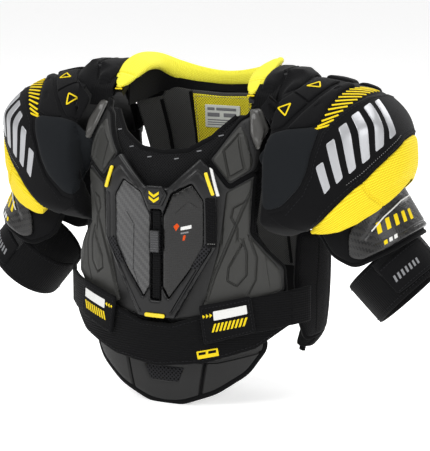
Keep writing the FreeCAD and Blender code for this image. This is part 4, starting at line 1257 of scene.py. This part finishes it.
def spine_guards():
    """Two moulded plates down the spine, each with a middle rib and two pairs of dishes."""
    place = on_back(11.4, 6)
    guards = {
        "upper": (mirror([(0, -34), (34, -40), (46, -78), (30, -126), (0, -132)]),
                  [([(0, -40), (0, -126)], False, 2.4, 1.2)]
                  + mirrored([([(10, -48), (32, -62), (36, -82), (12, -96)], True, 1.6, -1.4)])
                  + mirrored([([(8, -104), (26, -98), (22, -120), (8, -124)], True, 1.4, -1.2)])),
        "lower": (mirror([(0, -136), (30, -131), (42, -166), (28, -226), (0, -238)]),
                  [([(0, -142), (0, -230)], False, 2.4, 1.2)]
                  + mirrored([([(10, -146), (27, -142), (34, -166), (12, -180)], True, 1.6,
                               -1.4)])
                  + mirrored([([(9, -190), (30, -180), (22, -216), (9, -222)], True, 1.4,
                               -1.2)])),
    }
    for tag, (outline, ribs) in guards.items():
        piece(f"spine_shell_{tag}", outline, place, 4.8, "plastic", "yoke", step=4, edge=2.6,
              corner=5, creases=ribs, slot="plastic_black", nodes=[f"spine_guard_{tag}"])


WING_SCALE = 2.6


def on_wing(side, base):
    """Chart round the flank: arc length forward of the side is negative, and height."""
    def place(u, v, height):
        wide, deep = BACK.radii(v)
        angle = math.radians(u / WING_SCALE)
        lift = base + height
        return Vector((side * (wide + lift) * math.cos(angle),
                       BACK_MIDDLE + (deep + lift) * math.sin(angle), v))
    return place


def wings():
    """Side wings of the back pad: mesh over thin foam, with a bound edge and a pull nub."""
    corners = [(33, -152), (0, -148), (-30, -148), (-32, -200), (-29, -240), (-22, -267),
               (-8, -264), (11, -259), (32, -287), (43, -291), (38, -252), (35, -205)]
    outline = [(angle * WING_SCALE, z) for angle, z in corners]
    for name, side in SIDES.items():
        place = on_wing(side, 0.0)
        piece(f"flank_wing_{name}", outline, place, 8.6, "mesh", "yoke", step=5.5,
              edge=4.0, corner=8, crown=1.2,
              creases=[([(-40, -155), (-46, -210), (-40, -256)], False, 2.2, -0.9),
                       ([(0, -156), (0, -258)], False, 2.2, -0.9),
                       ([(42, -156), (50, -210), (72, -272)], False, 2.2, -0.9)],
              slot="mesh_black", nodes=[f"back_wing_{name}"], fill=0.6)
        bound(f"flank_binding_{name}", outline, place, 4.4, 4.4, 6.4, "yoke", corner=8, step=4.0)
        laid(f"flank_nub_{name}", [(100, -286), (103, -291), (104, -296)], place, 4.4, 7.0, 5.0,
             "binding", "yoke")


# ---------------------------------------------------------------- arms

REST_LIFT = {"left": 3.0, "right": -3.0}
CAP_HINGE, ARM_PLACE, ARM_LEAN, ARM_HANG_AT = (112.5, 22.0), (132.0, 2.0, -54.0), 31.0, -141.0
CAP_SCALE = 1.8
CAP_RIM, RIM_DROP, RIM_TUCK = 138.0, 1.7, 0.45
CAP_FAR, CAP_MISS = 220, 98.0


def turn_y(degrees):
    return Matrix.Rotation(math.radians(degrees), 4, "Y")


def arm_frame(name):
    """The arm's local frame: -Z runs down the arm and +X points away from the body."""
    side = SIDES[name]
    x, y, z = ARM_PLACE
    hinge = Matrix.Translation((side * CAP_HINGE[0], 0, CAP_HINGE[1]))
    lifted = hinge @ turn_y(-side * REST_LIFT[name]) @ hinge.inverted()
    placed = lifted @ Matrix.Translation((side * x, y, z)) @ turn_y(-side * ARM_LEAN)
    if side < 0:
        placed = placed @ Matrix.Rotation(math.pi, 4, "Z")
    return placed


def on_arm(name, radius, hang=0.0):
    """Chart round the arm: degrees from its outer line, positive to the rear, and -distance."""
    side = SIDES[name]
    placed = arm_frame(name)
    if hang:
        top = Matrix.Translation((0, 0, ARM_HANG_AT))
        placed = placed @ top @ turn_y(-hang) @ top.inverted()

    def place(u, v, height):
        angle = math.radians(u) * side
        r = radius + height
        return placed @ Vector((r * math.cos(angle), r * math.sin(angle), v))
    return place


CLOTH = {"quality": 5, "mass": 0.25, "tension_stiffness": 18, "compression_stiffness": 18,
         "bending_stiffness": 1.5, "use_pressure": True, "uniform_pressure_force": 4.0}
CLOTH_STEPS = 14


def simulate(made, reach):
    """Swells a closed cloth under pressure, and limits how far any point may move."""
    start = np.array([tuple(v.co) for v in made.data.vertices])
    cloth = made.modifiers.new("swell", "CLOTH")
    for key, value in CLOTH.items():
        setattr(cloth.settings, key, value)
    cloth.settings.effector_weights.gravity = 0.0
    cloth.collision_settings.use_collision = False
    scene = bpy.context.scene
    for step in range(CLOTH_STEPS):
        scene.frame_set(step + 1)
    evaluated = made.evaluated_get(bpy.context.evaluated_depsgraph_get())
    end = np.array([tuple(v.co) for v in evaluated.data.vertices])
    made.modifiers.remove(cloth)
    scene.frame_set(1)
    move = end - start
    length = np.linalg.norm(move, axis=1, keepdims=True)
    move *= np.minimum(1.0, reach * MM / np.maximum(length, 1e-9))
    made.data.vertices.foreach_set("co", (start + move).ravel())
    made.data.update()


def apply_modifiers(made):
    """Replaces the mesh by its evaluated form and drops the modifiers."""
    graph = bpy.context.evaluated_depsgraph_get()
    mesh = bpy.data.meshes.new_from_object(made.evaluated_get(graph))
    made.modifiers.clear()
    made.data = mesh


def soft_copy(node, name, material, body, voxel, shrink, reach):
    """A cloth skin from a CAD solid: remeshed, drawn in a little, swelled, and smoothed."""
    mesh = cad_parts[node].data.copy()
    mesh.materials.clear()
    made = bpy.data.objects.new(name, mesh)
    bpy.context.scene.collection.objects.link(made)
    remesh = made.modifiers.new("remesh", "REMESH")
    remesh.mode = "VOXEL"
    remesh.voxel_size = voxel * MM
    inward = made.modifiers.new("inward", "DISPLACE")
    inward.strength = -shrink * MM
    inward.mid_level = 0.0
    apply_modifiers(made)
    simulate(made, reach)
    relax = made.modifiers.new("relax", "SMOOTH")
    relax.factor = 0.5
    relax.iterations = 3
    finer = made.modifiers.new("finer", "SUBSURF")
    finer.levels = finer.render_levels = 1
    apply_modifiers(made)
    made.data.materials.clear()
    made.data.materials.append(MAT[material])
    made.data.shade_smooth()
    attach(made, body)
    return made


BRIDGE_BOX = (86, 144, -52, 46)
BRIDGE_STEP = 2.0
DRAPE_ROUNDS = 60


def bridge_chart(name, under):
    """Height chart over a shoulder: a smooth cloth laid over everything that lies beneath."""
    side = SIDES[name]
    trees = [BVHTree.FromPolygons([obj.matrix_world @ v.co / MM for v in obj.data.vertices],
                                  [p.vertices for p in obj.data.polygons]) for obj in under]
    low_x, high_x, low_y, high_y = BRIDGE_BOX
    xs = np.arange(low_x, high_x + BRIDGE_STEP, BRIDGE_STEP)
    ys = np.arange(low_y, high_y + BRIDGE_STEP, BRIDGE_STEP)
    top = np.full((len(xs), len(ys)), -40.0)
    for i, x in enumerate(xs):
        for j, y in enumerate(ys):
            for tree in trees:
                hit = tree.ray_cast(Vector((side * x, y, 90)), Vector((0, 0, -1)))[0]
                if hit is not None:
                    top[i, j] = max(top[i, j], hit.z)
    drape = top.copy()
    for _ in range(DRAPE_ROUNDS):
        wide = np.pad(drape, 1, mode="edge")
        drape = (wide[:-2, 1:-1] + wide[2:, 1:-1] + wide[1:-1, :-2] + wide[1:-1, 2:]) / 4
        drape = np.maximum(drape, top)

    def place(u, v, height):
        i = min(max((u - low_x) / BRIDGE_STEP, 0), len(xs) - 1.001)
        j = min(max((v - low_y) / BRIDGE_STEP, 0), len(ys) - 1.001)
        a, b, p, q = int(i), int(j), i % 1, j % 1
        z = ((1 - p) * (1 - q) * drape[a, b] + p * (1 - q) * drape[a + 1, b]
             + (1 - p) * q * drape[a, b + 1] + p * q * drape[a + 1, b + 1])
        return Vector((side * u, v, z + height))
    return place


def bridge(name, under):
    """Padded cloth that closes the shoulder from the collar out to the cap."""
    place = bridge_chart(name, under)
    outline = [(88.5, -20), (91, -36), (106, -42), (122, -40), (134, -33), (138, -8),
               (136, 26), (128, 40), (92, 40), (88.5, 24)]
    made = piece(f"shoulder_bridge_{name}", outline, place, 3.6, "softshell", None,
                 "softshell_black", fill=0.75, step=2.6, edge=4.5, corner=5, lip=0.1, crown=1.2,
                 creases=[([(104, -44), (112, -20), (114, 10), (110, 42)], False, 2.2, -2.8)])
    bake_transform(made)


def on_cap(name, skin):
    """Chart of a cap: angles about and from the arm axis, times CAP_SCALE, on the skin.

    Past the rim of the skin the chart leaves it and goes on straight, down and inwards.
    """
    side = SIDES[name]
    placed = arm_frame(name)
    centre = placed.translation
    turn = placed.to_3x3()
    tree = BVHTree.FromPolygons([v.co / MM for v in skin.data.vertices],
                                [p.vertices for p in skin.data.polygons])

    def place(u, v, height):
        angle = math.radians(u / CAP_SCALE) * side
        polar = math.radians(min(v / CAP_SCALE, CAP_RIM))
        beyond = RIM_DROP * max(v / CAP_SCALE - CAP_RIM, 0.0)
        onward = turn @ Vector((-RIM_TUCK * math.cos(angle), -RIM_TUCK * math.sin(angle), -1))
        d = turn @ Vector((math.sin(polar) * math.cos(angle),
                           math.sin(polar) * math.sin(angle), math.cos(polar)))
        hit = tree.ray_cast(centre + d * CAP_FAR, -d)[0]
        reach = (hit - centre).length if hit is not None else CAP_MISS
        return centre + d * (reach + height) + onward * beyond
    return place


def scaled(points):
    return [(a * CAP_SCALE, b * CAP_SCALE) for a, b in points]


STRIP_EDGE = [(-119, 113), (-109, 117), (-92, 115), (-80, 109), (-71, 100), (-58, 89.5),
              (-44, 85.5), (-32, 83.5), (-15, 83.5), (10, 86), (40, 90), (65, 97), (85, 106),
              (105, 113), (118, 114)]
BAND_EDGE = [(-112, 139), (-100, 136.5), (-87, 134.5), (-69, 132.5), (-48, 129.5),
             (-30, 124), (-9, 117), (10, 115.5), (30, 119), (60, 127), (90, 134), (112, 138)]


def along_edge(edge, angle):
    xs, ys = zip(*edge)
    return float(np.interp(angle, xs, ys))


STRETCH_RIM = [(-112, 140.5), (-102, 144), (-88, 147), (-70, 148.5), (-48, 148),
               (-23, 144.5), (2, 140), (25, 140), (50, 142), (80, 144), (102, 143), (112, 140)]
STRIP = [(a, b + 0.8) for a, b in STRIP_EDGE] + [(a, b - 1.2) for a, b in BAND_EDGE][::-1]
REAR = {"thick": 3.0, "fill": 0.8, "step": 4.5, "edge": 5.0, "corner": 6, "crown": 1.2}
CAP_PANELS = {
    "strip": (STRIP, {"thick": 1.8, "material": "strip", "fill": 0.6, "step": 4.5, "edge": 2.4,
                      "corner": 2, "lip": 0.1}),
    "stretch": (BAND_EDGE + STRETCH_RIM[::-1],
                {"thick": 2.6, "material": "yellow_knit", "slot": "knit_yellow", "fill": 0.7,
                 "step": 4.0, "edge": 4.0, "corner": 3, "lip": 0.1, "crown": 1.2,
                 "creases": [([(-52, 130), (-50, 137), (-42, 146)], False, 3.0, -1.6)]}),
    "front": ([(-118, 78), (-90, 71), (-76, 75.5), (-61, 84), (-59, 88), (-72, 98.5),
               (-81, 107.5), (-92, 113.5), (-109, 115.5), (-120, 111)],
              {"thick": 3.0, "material": "navy", "fill": 0.8, "step": 4.5, "edge": 6.0,
               "corner": 8, "crown": 1.4}),
    "segment": ([(-79, 74), (-64, 69), (-43, 64.5), (-20, 62), (-6, 64), (-8, 72), (-16, 70),
                 (-29, 71), (-44, 76), (-56, 83), (-66, 81)],
                {"thick": 3.2, "fill": 0.8, "step": 3.6, "edge": 5.0, "corner": 5, "crown": 1.2,
                 "creases": [([(-50, 71), (-46, 70)], False, 3.0, -1.2),
                             ([(-26, 66), (-22, 66)], False, 3.0, -1.2)]}),
    "inner": ([(-92, 50), (-72, 46), (-40, 42), (-12, 40), (-8, 60), (-22, 59), (-44, 61),
               (-66, 66), (-82, 71), (-92, 68)],
              {"thick": 2.6, "fill": 0.7, "step": 4.0, "edge": 4.0, "corner": 4, "crown": 0.8,
               "creases": [([(-56, 42), (-52, 64)], False, 2.6, -2.2)]}),
    "rear_high": ([(2, 44), (40, 42), (78, 48), (92, 62), (60, 66), (28, 68), (-2, 66)], REAR),
    "rear_mid": ([(0, 70), (28, 72), (62, 70), (94, 66), (108, 78), (96, 100), (84, 102),
                  (64, 93), (40, 86), (8, 82)], REAR),
}


def cap_panel(name, place, tag, thick, fill, material="softshell", slot="softshell_black",
              creases=(), lip=0.08, **shape):
    """One sewn panel of a cap, its outline and creases given in degrees."""
    creases = [(scaled(line), *rest) for line, *rest in creases]
    piece(f"cap_{tag}_{name}", scaled(CAP_PANELS[tag][0]), place, thick, material, f"cap_{name}",
          slot, fill=fill, creases=creases, lip=lip, **shape)


def cap(name):
    """One shoulder cap: a swelled shell, sewn panels over it, and the printed marks."""
    body = f"cap_{name}"
    shell = soft_copy(f"shoulder_cap_{name}", f"cap_shell_{name}", "softshell_body", body, 4.5,
                      1.4, 3.0)
    dress(shell, "softshell_black", [f"shoulder_cap_{name}"], 0.8)
    bridge(name, [shell, bpy.data.objects[f"epaulette_pad_{name}"],
                  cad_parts[f"cap_hinge_loop_{name}"],
                  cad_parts[f"shoulder_arch_{name}"]])
    place = on_cap(name, shell)
    for tag, (_, look) in CAP_PANELS.items():
        cap_panel(name, place, tag, **look)
    for tag, line in (("strip", [(a, b + 3.0) for a, b in STRIP_EDGE[1:-1]]),
                      ("band", [(a, b - 3.2) for a, b in BAND_EDGE[1:-1]])):
        seam(f"cap_seam_{tag}_{name}", scaled(line), place, 2.0, body, length=2.6, gap=1.8)
    cap_prints(name, place, body)


INK_LIFT = 1.75
HATCH_COUNT, HATCH_FIRST, HATCH_SPAN, HATCH_LEAN = 13, -63, 56, 12.0
BAR_COUNT, BAR_FIRST, BAR_PITCH, BAR_WIDE, BAR_LEAN = 6, -79, 11.2, 6.4, 0.3


def cap_prints(name, place, body):
    """Generic marks: slanted silver bars, a dotted line, a hatch and two outlined triangles."""
    def ink(u, v, height):
        return place(u, v, INK_LIFT + height)

    for index in range(BAR_COUNT):
        angle = BAR_FIRST + BAR_PITCH * index
        top = along_edge(STRIP_EDGE, angle + 6) + 6.0
        low = along_edge(BAND_EDGE, angle) - 9.0
        lean = (low - top) * BAR_LEAN
        outline = [(angle + lean, top), (angle + lean + BAR_WIDE, top - 0.8),
                   (angle + BAR_WIDE, low - 1.6), (angle, low)]
        panel(f"cap_bar_{name}_{index}", scaled(outline), ink, 0.6, "silver_print", body, step=4,
              edge=0.8, corner=2.4, lip=0.3)
    dots = [(a, along_edge(BAND_EDGE, a) - 5.2) for a in range(-62, -8, 3)]
    seam(f"cap_dots_{name}", scaled(dots), place, 2.0, body, material="thread_pale", length=1.3,
         gap=1.5)
    inner = [(-57, 84.5), (-44, 77), (-29, 72), (-16, 71), (-6, 74), (6, 76)]
    outer = [(-59, 92), (-48, 87), (-34, 83.2), (-20, 82), (-8, 82), (6, 83)]
    for k in range(HATCH_COUNT):
        angle = HATCH_FIRST + HATCH_SPAN * k / (HATCH_COUNT - 1)
        start = (angle, along_edge(inner, angle) + 0.6)
        end = (angle + HATCH_LEAN, along_edge(outer, angle + HATCH_LEAN) + 0.4)
        laid(f"cap_hatch_{name}_{k}", scaled([start, end]), place, 0.5, 2.1, 0.9, "yellow_print",
             body, step=2.5)
    for index, outline in enumerate(([(-78, 54), (-66, 56), (-75, 64)],
                                     [(-40, 47), (-26, 50), (-33, 56)])):
        laid(f"cap_triangle_{name}_{index}", scaled(soften(outline, 0.8)), place, 3.6, 1.7, 0.7,
             "yellow_print", body, True, 1.5)


def slanted(x, top, low, wide, lean):
    """Outline of a bar whose top stands further along than its foot by the lean."""
    return [(x + lean, top), (x + (lean + wide), top), (x + wide, low), (x, low)]


def biceps(name):
    """Biceps guard: coated shield, printed bars, and a white tape painted as the shield's
    highlight.
    """
    body = f"biceps_{name}"
    place = on_arm(name, 48.0)
    outline = [(-116, -66), (-70, -62), (70, -62), (116, -66), (118, -110), (100, -134),
               (50, -140), (-50, -140), (-98, -136), (-118, -112)]
    piece(f"biceps_cushion_{name}", outline, place, 8.0, "softshell", body, step=5.0, edge=4.5,
          corner=10, lip=0.2, crown=0.6, slot="softshell_black", nodes=[f"biceps_pad_{name}"],
          fill=0.8)
    bound(f"biceps_binding_{name}", outline, place, 4.6, 4.6, 7.4, body, corner=10, step=3.5)
    skin = on_arm(name, 57.4)
    shield = [(-96, -124), (-84, -104), (-62, -88), (-30, -79), (30, -79), (62, -88), (78, -104),
              (76, -126), (50, -136), (-60, -136), (-86, -133)]
    ridges = [([(-72, -116), (-44, -104), (0, -98), (44, -104), (72, -116)], False, 2.2, -1.0),
              ([(-66, -126), (-40, -130), (40, -130)], False, 1.2, -0.6)]
    piece(f"biceps_shell_{name}", shield, skin, 3.2, "carbon_dark", body, "composite_dark",
          [f"biceps_shield_{name}"], step=3.5, edge=2.0, corner=6, creases=ridges)
    # Painted highlight: a white tape along the shield's top ridge, where the light catches it.
    piping_highlight = [(-62, -113), (-44, -106.5), (-15, -100.5), (12, -99), (34, -102.5)]
    laid(f"biceps_piping_{name}", piping_highlight, skin, 3.3, 1.5, 1.3, "white_print", body)
    ink = on_arm(name, 60.5)
    for k in range(5):
        at = -58 + 10.5 * k
        bar = slanted(at, -112.5 - 0.08 * at, -124.0 - 0.08 * at, 5.0, 3.5)
        panel(f"biceps_bar_{name}_{k}", bar, ink, 0.5, "yellow_print", body, step=3, edge=0.5,
              corner=0.8)
    for k, material in enumerate(("yellow_print", "white_print", "white_print")):
        panel(f"biceps_mark_{name}_{k}", slanted(-58 + 6 * k, -128, -132, 4, 1.5), ink, 0.4,
              material, body, step=3, edge=0.4, corner=0.5)


CUFF_HANG = 12.0


def cuff(name):
    """Elastic cuff that hangs from the biceps guard, and its hook tab."""
    body = f"biceps_{name}"
    place = on_arm(name, 44.9, CUFF_HANG)
    ring = [(angle, -167.0) for angle in range(-180, 180, 6)]
    here = [place(u, v, 0.0) for u, v in ring]
    up = [(place(u, v, 1.0) - place(u, v, 0.0)).normalized() for u, v in ring]
    made = tape(f"cuff_elastic_{name}", (here, up), 51.0, 3.1, "elastic", body, closed=True,
                bulge=0.22)
    dress(made, "elastic_black", [f"arm_cuff_{name}"])
    for tag, v in (("top", -146.0), ("low", -188.0)):
        seam(f"cuff_stitching_{tag}_{name}", [(u, v) for u in range(-170, 175, 10)], place, 1.7,
             body, length=2.6, gap=1.8)
    fuzz = [(-84, -144), (60, -144), (60, -162), (-40, -166), (-84, -160)]
    piece(f"cuff_loop_{name}", fuzz, on_arm(name, 46.3, CUFF_HANG), 0.5, "hook", body,
          "elastic_black", step=3.5, edge=0.8, corner=2)
    tab = [(-82, -153), (-60, -152), (-8, -152), (-4, -156), (-4, -182), (-8, -186.5),
           (-60, -186.5), (-82, -185)]
    outside = on_arm(name, 46.9, CUFF_HANG)
    body = f"arm_strap_{name}"
    piece(f"cuff_tab_{name}", tab, outside, 2.4, "strip", body, "hook_black",
          [f"arm_strap_tab_{name}"], step=3.5, edge=1.0, corner=3)
    seam(f"cuff_tab_stitching_{name}", [(-79, -155), (-8, -155), (-8, -183.5), (-79, -183.5)],
         outside, 2.5, body)
    ink = on_arm(name, 49.25, CUFF_HANG)
    for k in range(7):
        bar = slanted(-74 + 6.0 * k, -168 - 0.1 * k, -175, 3.0, 1.8)
        panel(f"cuff_bar_{name}_{k}", bar, ink, 0.35, "grey_print", body, step=3, edge=0.3,
              corner=0.5)


CAD_LOOKS = {
    "shoulder_arch": "plastic", "cap_insert": "plastic", "biceps_pivots": "plastic",
    "chest_hinge_cord": "webbing_body", "cap_hinge_cord": "webbing_body",
    "chest_hinge_loop": "webbing_body", "cap_hinge_loop": "webbing_body",
    "sternum_slider": "slider",
}


def dress_frame():
    """Procedural materials for the CAD nodes that stay in view."""
    for node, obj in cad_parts.items():
        if obj.hide_render:
            continue
        look = next((look for stem, look in CAD_LOOKS.items() if node.startswith(stem)), None)
        if look is None:
            raise RuntimeError(f"{node} has no look")
        obj.data.materials.clear()
        obj.data.materials.append(MAT[look])


mesh_bib()
chest_foam()
chest_band()
sternum()
belly()
waist()
collar()
neck_lining()
gussets()
epaulettes()
back()
back_lining()
size_label()
spine_guards()
wings()
for name in SIDES:
    cap(name)
    biceps(name)
    cuff(name)
dress_frame()
